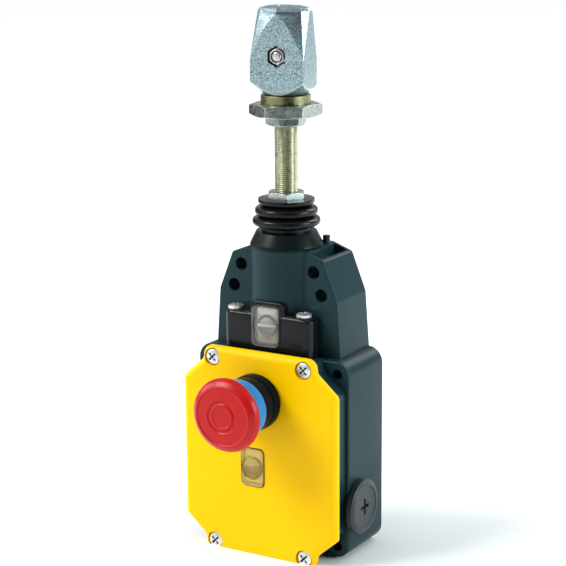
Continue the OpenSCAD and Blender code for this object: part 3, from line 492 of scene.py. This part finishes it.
def status_disc(node, x, radius, ground, face):
    """Paints a status disc by place: its plate, its outer ring, its face and its light bar."""
    low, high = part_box(node)
    centre_z = (low.z + high.z) / 2
    eased(node, Finish(node + " plate", Base_Color=(*ground, 1), Roughness=0.45), 0)
    mesh = bpy.data.objects[node + "_shown"].data
    plate_face = high.y - plate_t
    ring = Finish(node + " ring", Base_Color=(0.035, 0.045, 0.045, 1), Roughness=0.4)
    middle = Finish(node + " face", Base_Color=(*face, 1), Roughness=0.35)
    bar = Finish(node + " bar", Base_Color=(0.85, 0.87, 0.87, 1), Roughness=0.3)
    second_finish(mesh, ring, lambda px, py, pz: py < plate_face)
    second_finish(mesh, middle, lambda px, py, pz: (
        (py < plate_face) & (np.hypot(px - x, pz - centre_z) < radius - ring_w)))
    second_finish(mesh, bar, lambda px, py, pz: py < low.y + bar_t)


status_disc("cover_indicator", lens_x, 4.85 * MM, (0.92, 0.62, 0.10), (0.45, 0.49, 0.46))
status_disc("tower_indicator", 0, 5.8 * MM, (0.50, 0.49, 0.42), (0.26, 0.31, 0.34))


cord_r = 0.28 * MM
cord_gap = 0.3 * MM


def gap_shade_cord(name, x, z, width, height, depth):
    """A black cord round a window, painted shade of the gap between lens and frame: a circle of the cord's
    section carried round a rounded rectangle, out from the outline and forwards from the face."""
    line = plate_outline(x, z, width, height, lens_corner)
    nxt, prev = np.roll(line, -1, 0), np.roll(line, 1, 0)
    out = np.stack([(nxt - prev)[:, 1], -(nxt - prev)[:, 0]], 1)
    out /= np.linalg.norm(out, axis=1, keepdims=True)
    turn = np.linspace(0, 2 * np.pi, 10, endpoint=False)
    rings = np.array([
        at_depth(line + cord_r * math.cos(t) * out, depth + cord_r * math.sin(t)) for t in turn])
    rings = np.concatenate([rings, rings[:1]])
    mesh = skin(name, rings, False, False)
    smooth_below(mesh, 60)
    # The cord takes the black rubber finish as painted shade of the gap round the lens
    piece = add_piece(name, mesh, rubber)
    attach(piece, "root")


block_face = -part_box("window_block")[0].y
tower_low, tower_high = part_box("tower_window")
tower_lens_z = (tower_low.z + tower_high.z) / 2
gap_shade_cord("cover_window_gap_shade", lens_x, lens_z, lens_w + cord_gap, lens_h + cord_gap,
            cover_face)
gap_shade_cord("tower_window_gap_shade", 0, tower_lens_z, tower_high.x - tower_low.x + cord_gap,
            tower_high.z - tower_low.z + cord_gap, block_face)

# ---- Blanking plugs ----
# Black moulded plugs screwed into the two side entries, each with a raised rim and a cross slot
# in its sunk face, and a rubber seal behind its head.

matte_black = coat_finish("matte black plastic", (0.022, 0.026, 0.028), (0.040, 0.047, 0.050), 0.38, 0.4)
eased("side_entry_plugs", matte_black, 0.4 * MM)

# ---- Tower cap ----
# A flared metal ring pressed onto the tower and coated black. Its cone leads up to the rod, and the
# bellows are stretched over its top.


def turned(name, outline, radii, centre, axis="Z", count=96, steps=5):
    """A lathe shape: an outline of (radius, height) corners with rounded turns, carried round an
    axis. Radius goes out from the axis and height along it."""
    line = filleted(outline, radii, steps)
    radius, height = line[:, 0][None], line[:, 1][None]
    turn = np.linspace(0, 2 * np.pi, count + 1)[:, None]
    across, up, along = radius * np.cos(turn), radius * np.sin(turn), height + 0 * turn
    if axis == "Z":
        rings = np.stack([across, up, along], -1)
    else:
        rings = np.stack([across, -along, up], -1)
    mesh = skin(name, rings + np.array(centre), False, False)
    smooth_below(mesh, 35)
    return mesh


rod_low, rod_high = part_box("pull_rod")
rod_y = (rod_low.y + rod_high.y) / 2
rod_r = (rod_high.x - rod_low.x) / 2
cap_low, cap_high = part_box("tower_cap")
cap_r = cap_high.x
cap_h = cap_high.z - cap_low.z
cap_outline = [
    (rod_r + 1.5 * MM, 0), (cap_r - 0.3 * MM, 0), (cap_r, 1.2 * MM), (cap_r - 0.35 * MM, 2.1 * MM),
    (cap_r - 3.3 * MM, cap_h), (rod_r + 1.5 * MM, cap_h),
]
cap_radii = np.array([0.1, 0.3, 0.4, 0.4, 0.3, 0.1]) * MM
cap_mesh = turned("cap_shell", cap_outline, cap_radii, (0, rod_y, cap_low.z))
cap_coat = coat_finish("black cap coat", (0.002, 0.006, 0.007), (0.004, 0.009, 0.010), 0.24, 0.10)
add_piece("tower_cap_shown", cap_mesh, cap_coat, "tower_cap")

# ---- Bellows ----
# Moulded black rubber, three round beads between narrow grooves. The lower end grips the cap and
# the upper end is held by the lower jam nut.

fold_low, fold_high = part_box("bellows")
fold_h = fold_high.z - fold_low.z
bead_count = 3
bead_pitch = fold_h / 3.2
first_bead = 0.30 * fold_h
height = np.linspace(0, fold_h - 0.4 * MM, 120)
step = (height - first_bead) / bead_pitch
bead = np.clip(np.round(step), 0, bead_count - 1)
from_bead = np.clip(np.abs(step - bead) * 2, 0, 1.15)
bead_r = np.array([17.4, 16.1, 14.5])[bead.astype(int)] * MM
groove_depth = 3.1 * MM
outer_r = bead_r - groove_depth * from_bead ** 3.2
outer = np.stack([outer_r, height], 1)
fold_wall, rod_gap = 1.5 * MM, 0.02 * MM
lip = np.array([(rod_r + 3.6 * MM, fold_h - 0.1 * MM), (rod_r + 3.2 * MM, fold_h), (rod_r + rod_gap, fold_h)])
inner = np.stack([outer_r[::-4] - fold_wall, height[::-4] - 0.6 * MM], 1)
inner = np.concatenate([[(rod_r + rod_gap, fold_h - 1.1 * MM)], inner[3:]])
inner[:, 1] = np.maximum(inner[:, 1], 0)
fold_line = np.concatenate([outer, lip, inner])
turn = np.linspace(0, 2 * np.pi, 97)[:, None]
fold_rings = np.stack([
    fold_line[None, :, 0] * np.cos(turn), rod_y + fold_line[None, :, 0] * np.sin(turn),
    fold_low.z + fold_line[None, :, 1] + 0 * turn], -1)
fold_mesh = skin("bellows_shell", fold_rings, False, False)
smooth_below(fold_mesh, 60)
fold_rubber = Finish("bellows rubber", IOR=1.5, Specular_IOR_Level=0.22)
fold_grain = fold_rubber.grain(700, 3)
fold_rubber.set("Base Color", fold_rubber.shades(fold_grain, (0.003, 0.003, 0.004), (0.006, 0.006, 0.007)))
fold_rubber.set("Roughness", 0.16 + 0.10 * fold_grain)
fold_rubber.relief(fold_grain, 0.00004, 0.5)
bellows = add_piece("bellows_shown", fold_mesh, fold_rubber)
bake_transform(bellows)
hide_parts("bellows")

# ---- Pull rod ----
# Yellow zinc-plated steel with a fine rolled thread over its upper part; its lower part is plain
# where it runs in the guide bush and carries the spring plate and the cam.

yellow_zinc = Finish("yellow zinc plate", Metallic=1.0)
rod_mottle = yellow_zinc.grain(300, 4, 0.6)
yellow_zinc.set("Base Color", yellow_zinc.shades(rod_mottle, (0.34, 0.34, 0.22), (0.66, 0.66, 0.52)))
yellow_zinc.set("Roughness", 0.20 + 0.20 * rod_mottle)
yellow_zinc.relief(yellow_zinc.grain(2400, 2), 0.00004, 0.5)

thread_pitch = 1.0 * MM
thread_depth = 0.62 * MM
thread_start = fold_high.z - 4 * MM
chamfer = 0.8 * MM
around = 56


def thread_rings(start, end, radius, pitch, depth, steps_per_turn=8):
    """Rod with a thread: the radius falls by depth in a V that climbs one pitch a turn, and runs
    out over a pitch at either end."""
    z = np.arange(start, end, pitch / steps_per_turn)[:, None]
    turn = np.linspace(0, 2 * np.pi, around, endpoint=False)[None]
    phase = (z - start) / pitch - turn / (2 * np.pi)
    wave = np.abs(2 * (phase - np.floor(phase)) - 1)
    fade = np.clip(np.minimum(z - start, end - z) / pitch, 0, 1)
    r = radius - depth * np.clip(1.25 * wave - 0.12, 0, 1) * fade
    return np.stack([r * np.cos(turn), rod_y + r * np.sin(turn), z + 0 * turn], -1)


def rod_ring(radius, z):
    """One circle of the rod, as an array of a single ring."""
    turn = np.linspace(0, 2 * np.pi, around, endpoint=False)
    return np.stack([radius * np.cos(turn), rod_y + radius * np.sin(turn), np.full(around, z)], 1)[None]


rod_rings = np.concatenate([
    rod_ring(rod_r - chamfer, rod_low.z), rod_ring(rod_r, rod_low.z + chamfer),
    thread_rings(thread_start, rod_high.z - 1.2 * MM, rod_r, thread_pitch, thread_depth),
    rod_ring(rod_r, rod_high.z - chamfer), rod_ring(rod_r - chamfer, rod_high.z)])
rod_mesh = skin("rod_threaded", rod_rings)
smooth_below(rod_mesh, 50)
add_piece("pull_rod_shown", rod_mesh, yellow_zinc, "pull_rod")

# ---- Nuts on the rod ----
# Turned and chamfered hexagon nuts: one under the bare rod against the bellows, one locking the
# large tension nut from below. The tension nut sets the height of the swivel collar.

nut_plate = Finish("bright zinc plate", Metallic=1.0)
nut_mottle = nut_plate.grain(380, 5, 0.65)
nut_plate.set("Base Color", nut_plate.shades(nut_mottle, (0.16, 0.21, 0.20), (0.60, 0.64, 0.60)))
nut_plate.set("Roughness", 0.14 + 0.26 * nut_mottle)
nut_plate.relief(nut_plate.grain(1500, 3), 0.00008, 0.5)
for node in ("lower_jam_nut", "upper_jam_nut", "tension_nut", "plate_nut"):
    eased(node, nut_plate, 0.3 * MM, 2, 20)

# ---- Swivel collar ----
# Yellow zinc-plated steel collar that rests on the tension nut. The head turns on its spigot, and
# a circlip keeps it there.

olive_zinc = Finish("olive zinc plate", Metallic=1.0)
olive_mottle = olive_zinc.grain(350, 4, 0.6)
olive_zinc.set("Base Color", olive_zinc.shades(olive_mottle, (0.12, 0.12, 0.06), (0.34, 0.33, 0.18)))
olive_zinc.set("Roughness", 0.18 + 0.2 * olive_mottle)
eased("swivel_collar", olive_zinc, 0.3 * MM, 2)

# ---- Clamp head ----
# Sand-textured zinc casting with a flat arched front, faceted shoulders and a round-bottomed skirt.
# The nut of its cross bolt lies in a hexagonal pocket in the front.

head_low, head_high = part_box("clamp_head")
head_h = head_high.z - head_low.z
head_turn = math.radians(9)
head_half, head_front, head_rear = 14.2 * MM, 12 * MM, 9.5 * MM
straight = 17.5 * MM
apex = 39.5 * MM
crown = head_h - 2.4 * MM
skirt_r = 12 * MM
arc_rise = 0.88


def head_section(z):
    """Half section of the head at heights z: the flat front narrows as a power of the height that
    is left below the apex, and the corner opens into two facets that lean back."""
    rise = np.clip((z - straight) / (crown - straight), 0, 1)
    left = np.clip((apex - z) / (apex - straight), 0, 1)
    flat = head_half * left ** 0.66

    def lean(low, high):
        return low + (high - low) * rise

    corners = [
        (0 * z, -head_front + 0 * z), (flat, -head_front + 0 * z),
        (lean(head_half, 11.0 * MM), -lean(head_front, 6.2 * MM)),
        (lean(head_half, 13.7 * MM), -lean(head_front, 2.2 * MM)),
        (lean(head_half, 13.7 * MM), lean(head_rear - 3 * MM, 2 * MM)),
        (lean(head_half - 3 * MM, 11.0 * MM), lean(head_rear, 5.7 * MM)),
        (0 * z, head_rear + 0 * z),
    ]
    return np.stack([np.stack(c, -1) for c in corners], 1)


levels = np.concatenate([[0, straight * 0.5], np.linspace(straight, crown, 40)])
half_section = head_section(levels)
spaced = np.linspace(0, 1, 9)[None, None, :, None]
sides = half_section[:, :-1, None] * (1 - spaced) + half_section[:, 1:, None] * spaced
right_half = sides[:, :, :-1].reshape(len(levels), -1, 2)
right_half = np.concatenate([right_half, half_section[:, -1:]], 1)
left_half = right_half[:, 1:-1][:, ::-1] * np.array([-1, 1])
plan = np.concatenate([right_half, left_half], 1)
head_z = np.repeat(levels[:, None], plan.shape[1], 1)
reach = np.hypot(plan[..., 0], plan[..., 1])
head_z[0] = np.maximum(0, arc_rise * (reach[0] - skirt_r))
head_z[1] = np.maximum(head_z[1], head_z[0] + 2 * MM)
head_rings = np.concatenate([plan, head_z[..., None]], -1)
lip = head_rings[0].copy()
lip[:, :2] *= 0.93
head_rings[0, :, 2] += 0.9 * MM


def shrunk(ring, radius, z):
    """The ring's points moved in along their own radii to a circle."""
    out = ring[:, :2] / np.linalg.norm(ring[:, :2], axis=1, keepdims=True)
    return np.concatenate([out * radius, np.full((len(out), 1), z)], 1)[None]


rim = head_rings[-1] * [0.90, 0.90, 0] + [0, 0, head_h - 0.9 * MM]
dome = head_rings[-1] * [0.62, 0.62, 0] + [0, 0, head_h]
spigot_bore, rod_bore, rope_bore = 7.7 * MM, 6.6 * MM, 3.2 * MM
spigot_seat = 8 * MM
rod_stop = rod_high.z + 12 * MM - head_low.z
head_rings = np.concatenate([
    shrunk(head_rings[0], rod_bore, rod_stop), shrunk(head_rings[0], rod_bore, spigot_seat),
    shrunk(head_rings[0], spigot_bore, spigot_seat), shrunk(head_rings[0], spigot_bore, 0),
    shrunk(lip, skirt_r - 0.8 * MM, 0), lip[None], head_rings, rim[None], dome[None],
    shrunk(rim, rope_bore + 0.6 * MM, head_h), shrunk(rim, rope_bore, head_h - 0.6 * MM),
    shrunk(rim, rope_bore, head_h - 16 * MM)])
swivel = np.array([[math.cos(head_turn), math.sin(head_turn), 0],
                   [-math.sin(head_turn), math.cos(head_turn), 0], [0, 0, 1]])
head_centre = np.array([0, rod_y, head_low.z])
bolt_z = 19.3 * MM


def hex_ring(half_flats, y):
    """A hexagon round the bolt's axis: six points at its half width over the cosine of 30 degrees."""
    angle = np.radians(30 + 60 * np.arange(6))
    r = half_flats / math.cos(math.pi / 6)
    return np.stack([r * np.cos(angle), np.full(6, y), bolt_z + r * np.sin(angle)], 1)


def in_head(points):
    """From the head's own coordinates to the frame's: turned about the rod, then moved to its foot."""
    return points @ swivel + head_centre


pocket_half = 4.7 * MM
pocket = skin("cutter", in_head(np.array([
    hex_ring(pocket_half, -head_front + 2.7 * MM), hex_ring(pocket_half, -head_front - MM)])))
head_mesh = carved(skin("head_blank", in_head(head_rings)), [pocket])
smooth_below(head_mesh, 16)

cast_zinc = Finish("sand-cast zinc", Metallic=0.9, IOR=1.6)
sand = cast_zinc.grain(1900, 4, 0.7)
lumps = cast_zinc.contrast(cast_zinc.grain(1250, 3, 0.65), 0.32, 0.68)
cast_zinc.set("Base Color", cast_zinc.shades(lumps, (0.07, 0.14, 0.17), (0.56, 0.70, 0.74)))
cast_zinc.set("Roughness", 0.22 + 0.16 * sand)
cast_zinc.relief(sand + lumps, 0.00005, 0.7)
add_piece("clamp_head_shown", head_mesh, cast_zinc, "clamp_head")


bright_w = 1.3 * MM


def own_frame(x, y, z):
    """The head's own coordinates: across, backwards and up from its foot, and the distance from
    its axis."""
    local = (np.stack([x, y, z], 1) - head_centre) @ swivel.T
    return (*local.T, np.hypot(local[:, 0], local[:, 1]))


def on_lip(x, y, z):
    """The lower edge that takes the painted highlight: close to the outer walls and less than bright_w above
    the skirt's arc.
    """
    across, back, up, reach = own_frame(x, y, z)
    outwards = np.maximum(np.abs(across) / head_half, np.maximum(-back / head_front, back / head_rear))
    return (outwards > 0.95) & (up < arc_rise * (reach - skirt_r) + bright_w)


def in_pocket(x, y, z):
    """Within a cylinder round the bolt's axis, behind the front face."""
    across, back, up, _ = own_frame(x, y, z)
    return ((np.hypot(across, up - bolt_z) < 5.5 * MM) & (back > -head_front + 0.05 * MM)
            & (back < -head_front + 3 * MM))


# A painted highlight: a band of much lighter metal along the skirt's lower edge
painted_lip_highlight = Finish("painted lip highlight", Metallic=0.6, Roughness=0.35)
painted_lip_highlight.set("Base Color", painted_lip_highlight.shades(
    painted_lip_highlight.grain(900, 3), (0.75, 0.80, 0.82), (0.95, 0.97, 0.97)))
second_finish(head_mesh, painted_lip_highlight, on_lip)
# The nut pocket's walls are painted black: painted shade in the recess
second_finish(head_mesh, painted_shade_black, in_pocket)
# A black ring inside the nut's round collar: painted shade in its bore
bore_shade_rings = in_head(np.array([
    at_depth(disc_outline(0, bolt_z, radius * MM, 48), head_front - depth * MM)
    for radius, depth in ((3.02, 0.6), (3.02, 0.4), (1.95, 0.4), (1.95, 0.6))]))
bore_shade_mesh = skin("clamp_nut_bore_shade", bore_shade_rings, False, False)
insert = add_piece("clamp_nut_bore_shade", bore_shade_mesh, painted_shade_black)
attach(insert, frame["nodes"]["clamp_nut"]["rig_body"])
eased("clamp_nut", zinc_plate, 0.2 * MM, 2, 20)
eased("clamp_bolt", zinc_plate, 0.25 * MM, 2)

# ---- Emergency-stop button ----
# A red moulded mushroom with a sunk ring in its face, on a stem. Behind it are a blue ring and a
# black collar that passes through the cover and is held by a lock nut inside.

button_r = button_high.x - button_x
button_back = -button_high.y
ring_low, ring_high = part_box("estop_ring")
ring_bore = 9.9 * MM
skirt_bore = 15.2 * MM
hollow = 3.9 * MM
mushroom_line = [
    (0, hollow), (skirt_bore, hollow), (skirt_bore, 0), (button_r - 1.0 * MM, 0), (button_r, 1.2 * MM),
    (button_r, 2.6 * MM), (button_r - 0.9 * MM, 4.7 * MM), (button_r - 2.9 * MM, 6.3 * MM),
    (button_r * 0.79, 6.85 * MM), (button_r * 0.765, 6.45 * MM), (button_r * 0.735, 6.35 * MM),
    (button_r * 0.45, 6.95 * MM), (button_r * 0.425, 6.5 * MM), (button_r * 0.37, 6.5 * MM),
    (button_r * 0.345, 7.0 * MM), (button_r * 0.29, 7.25 * MM), (button_r * 0.27, 6.95 * MM),
    (0, 7.1 * MM),
]
mushroom_radii = np.array([0, .3, .2, .6, 1.0, 2.2, 2.2, 1.2, .5, .3, .3, .3, .25, .25, .3, .3, .3, 0]) * MM
mushroom_mesh = turned("mushroom_shell", mushroom_line, np.maximum(mushroom_radii, 1e-6),
                       (button_x, -button_back, button_z), "Y", 112, 6)
button_red = Finish("red moulded plastic", IOR=1.49, Specular_IOR_Level=0.25)
button_red.set("Base Color", button_red.shades(
    button_red.grain(40, 2), (0.42, 0.005, 0.006), (0.52, 0.009, 0.009)))
button_red.set("Roughness", 0.24 + 0.12 * button_red.grain(120, 3))
button_red.relief(button_red.grain(1300, 2), 0.00004, 0.5)
add_piece("estop_mushroom_shown", mushroom_mesh, button_red, "estop_mushroom")

ring_r = ring_high.x
ring_h = -ring_low.y + ring_high.y
ring_line = [(ring_bore, 0), (ring_r, 0), (ring_r, ring_h - 1.0 * MM),
             (ring_r - 0.9 * MM, ring_h), (ring_bore, ring_h)]
ring_mesh = turned("ring_shell", ring_line, np.array([0.1, 0.3, 0.5, 0.5, 0.1]) * MM,
                   (button_x, ring_high.y, button_z), "Y")
ring_blue = Finish("blue moulded plastic", IOR=1.49, Specular_IOR_Level=0.25)
ring_blue.set("Base Color", ring_blue.shades(
    ring_blue.grain(50, 2), (0.004, 0.20, 0.52), (0.007, 0.25, 0.60)))
ring_blue.set("Roughness", 0.26 + 0.12 * ring_blue.grain(150, 3))
ring_blue.relief(ring_blue.grain(1300, 2), 0.00004, 0.5)
add_piece("estop_ring_shown", ring_mesh, ring_blue, "estop_ring")
collar_black = coat_finish("collar black", (0.003, 0.005, 0.008), (0.006, 0.009, 0.013), 0.20, 0.14)
collar_black.set("IOR", 1.2)
eased("estop_collar", collar_black, 0.3 * MM)

# ---- Parts inside ----
# What works behind the castings: springs, bush, cam and its followers, the wedge, the stem with its
# crossbar, and the two contact blocks. They keep their CAD shapes, and the springs are shown by
# copies of their meshes.


def paint(finish, *nodes):
    """Gives CAD nodes a finish."""
    for name in nodes:
        slots = frame["nodes"][name].data.materials
        slots.clear()
        slots.append(finish.material)


def moulded(name, dark, light):
    """A plain moulded plastic of the parts inside."""
    return coat_finish(name, dark, light, 0.36)


spring_steel = Finish("spring steel", Metallic=1.0)
wire_grain = spring_steel.grain(900, 3)
spring_steel.set("Base Color", spring_steel.shades(wire_grain, (0.36, 0.36, 0.36), (0.52, 0.52, 0.51)))
spring_steel.set("Roughness", 0.25 + 0.2 * wire_grain)
bronze = Finish("sintered bronze", Metallic=1.0)
bronze_grain = bronze.grain(1400, 4)
bronze.set("Base Color", bronze.shades(bronze_grain, (0.52, 0.36, 0.18), (0.70, 0.50, 0.28)))
bronze.set("Roughness", 0.32 + 0.2 * bronze_grain)
bronze.relief(bronze_grain, 0.00005, 0.5)
brass = Finish("brass", Metallic=1.0)
brass_grain = brass.grain(500, 3)
brass.set("Base Color", brass.shades(brass_grain, (0.72, 0.52, 0.22), (0.84, 0.64, 0.32)))
brass.set("Roughness", 0.2 + 0.15 * brass_grain)

paint(spring_steel, "cam_circlip", "collar_circlip", "rope_wedge")
for node, mover, axis in (("main_spring", "pull_rod", 2), ("estop_spring", "estop_button", 1)):
    # The far end of each spring is seated in the housing. Its copy stays where the spring stands, and the
    # ends' middle points are worked out but not used
    low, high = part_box(node)
    seat, pushed = list((low + high) / 2), list((low + high) / 2)
    seat[axis], pushed[axis] = high[axis], low[axis]
    spring = add_piece(node + "_shown", frame["nodes"][node].data.copy(), spring_steel)
    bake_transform(spring)
    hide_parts(node)
paint(zinc_plate, "spring_plate", "cam_followers")
paint(bronze, "guide_bush")
paint(brass, "contact_bridges", "fixed_contacts", "earth_screw")
paint(moulded("natural acetal", (0.72, 0.70, 0.62), (0.80, 0.78, 0.70)),
      "cam_sleeve", "contact_plungers", "estop_crossbar")
paint(moulded("black acetal", (0.012, 0.012, 0.014), (0.020, 0.020, 0.022)), "estop_stem")
paint(moulded("grey plastic", (0.20, 0.20, 0.20), (0.26, 0.26, 0.26)), "estop_lock_nut")
paint(moulded("dark blue thermoset", (0.020, 0.030, 0.070), (0.030, 0.042, 0.090)), "switch_blocks")

# ---- Stage ----
# A pale floor under the switch, soft light round it with two dark screens for the metal to show,
# and the camera to the right of the front.

floor_mesh = bpy.data.meshes.new("floor")
floor_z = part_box("housing")[0].z - 0.1 * MM
reach_out = 9.0
floor_mesh.from_pydata([
    (-reach_out, -reach_out, floor_z), (reach_out, -reach_out, floor_z),
    (reach_out, reach_out, floor_z), (-reach_out, reach_out, floor_z)], [], [(0, 1, 2, 3)])
floor = bpy.data.objects.new("floor", floor_mesh)
bpy.context.scene.collection.objects.link(floor)
floor_mesh.materials.append(Finish("pale floor", Base_Color=(0.93, 0.93, 0.93, 1), Roughness=0.9).material)

world = bpy.data.worlds.new("studio")
bpy.context.scene.world = world
world.use_nodes = True
sky = world.node_tree
background = sky.nodes["Background"]
facing = sky.nodes.new("ShaderNodeVectorMath")
facing.operation = "DOT_PRODUCT"
sky.links.new(sky.nodes.new("ShaderNodeTexCoord").outputs["Generated"], facing.inputs[0])
facing.inputs[1].default_value = (0.64, -0.77, 0)
shade = sky.nodes.new("ShaderNodeMapRange")
sky.links.new(facing.outputs["Value"], shade.inputs["Value"])
for key, value in {"From Min": 0.72, "From Max": 0.93, "To Min": 0.55, "To Max": 0.03}.items():
    shade.inputs[key].default_value = value
sky.links.new(shade.outputs["Result"], background.inputs["Strength"])
background.inputs["Color"].default_value = (0.95, 0.99, 1, 1)

target = Vector((0, -0.03, 0.08))


def soft_box(name, place, size, power, colour=(1, 1, 1)):
    """A square lamp that faces the middle of the switch."""
    light = bpy.data.lights.new(name, "AREA")
    light.shape, light.size, light.energy, light.color = "SQUARE", size, power, colour
    lamp = bpy.data.objects.new(name, light)
    bpy.context.scene.collection.objects.link(lamp)
    lamp.location = place
    lamp.rotation_euler = (target - Vector(place)).to_track_quat("-Z", "Y").to_euler()


sun_light = bpy.data.lights.new("key", "SUN")
sun_light.energy, sun_light.angle = 2.6, 0.5
sun = bpy.data.objects.new("key", sun_light)
bpy.context.scene.collection.objects.link(sun)
sun.rotation_euler = Vector((0.62, 0.55, -0.80)).to_track_quat("-Z", "Y").to_euler()
soft_box("right side", (1.7, 0.35, 0.6), 0.8, 22, (0.78, 0.95, 1))
soft_box("left side", (-1.5, -0.3, 0.5), 0.7, 12)
soft_box("back rim", (0.4, 1.3, 1.0), 0.8, 9)


card_lines = 24


def black_card(name, first, last, low, high, distance=0.8):
    """A dark curved screen round the rod's axis, from one bearing to another. Only the metal and
    plastic see it, so their faces have something dark to show."""
    bearing = np.radians(np.linspace(first, last, card_lines))
    line = np.stack([distance * np.cos(bearing), distance * np.sin(bearing)], 1)
    points = [(x, y, z) for z in (low, high) for x, y in line]
    card_mesh = bpy.data.meshes.new(name)
    card_mesh.from_pydata(points, [], [
        (i, i + 1, i + card_lines + 1, i + card_lines) for i in range(card_lines - 1)])
    card_mesh.materials.append(Finish(name, Base_Color=(0.01, 0.01, 0.01, 1), Roughness=1.0).material)
    card = bpy.data.objects.new(name, card_mesh)
    bpy.context.scene.collection.objects.link(card)
    card.visible_camera = card.visible_shadow = False


black_card("front card", -72, -22, floor_z, 0.85)
black_card("left card", 150, 205, floor_z, 0.5)

camera_data = bpy.data.cameras.new("camera")
camera_data.sensor_width = 36
camera_data.lens = 113.81
camera_data.clip_start, camera_data.clip_end = 0.05, 60
camera = bpy.data.objects.new("camera", camera_data)
bpy.context.scene.collection.objects.link(camera)
yaw, pitch, tilt = math.radians(30.85), math.radians(13.323), math.radians(-0.426)
ahead = Vector((-math.sin(yaw) * math.cos(pitch), math.cos(yaw) * math.cos(pitch), -math.sin(pitch)))
right = Vector((math.cos(yaw), math.sin(yaw), 0))
above = right.cross(ahead)
right, above = (right * math.cos(tilt) + above * math.sin(tilt),
                above * math.cos(tilt) - right * math.sin(tilt))
camera.matrix_world = Matrix.Translation((0.4555, -0.7872, 0.2963)) @ Matrix(
    (right, above, -ahead)).transposed().to_4x4()
bpy.context.scene.camera = camera
bpy.context.scene.view_settings.view_transform = "Standard"

bpy.context.view_layer.update()
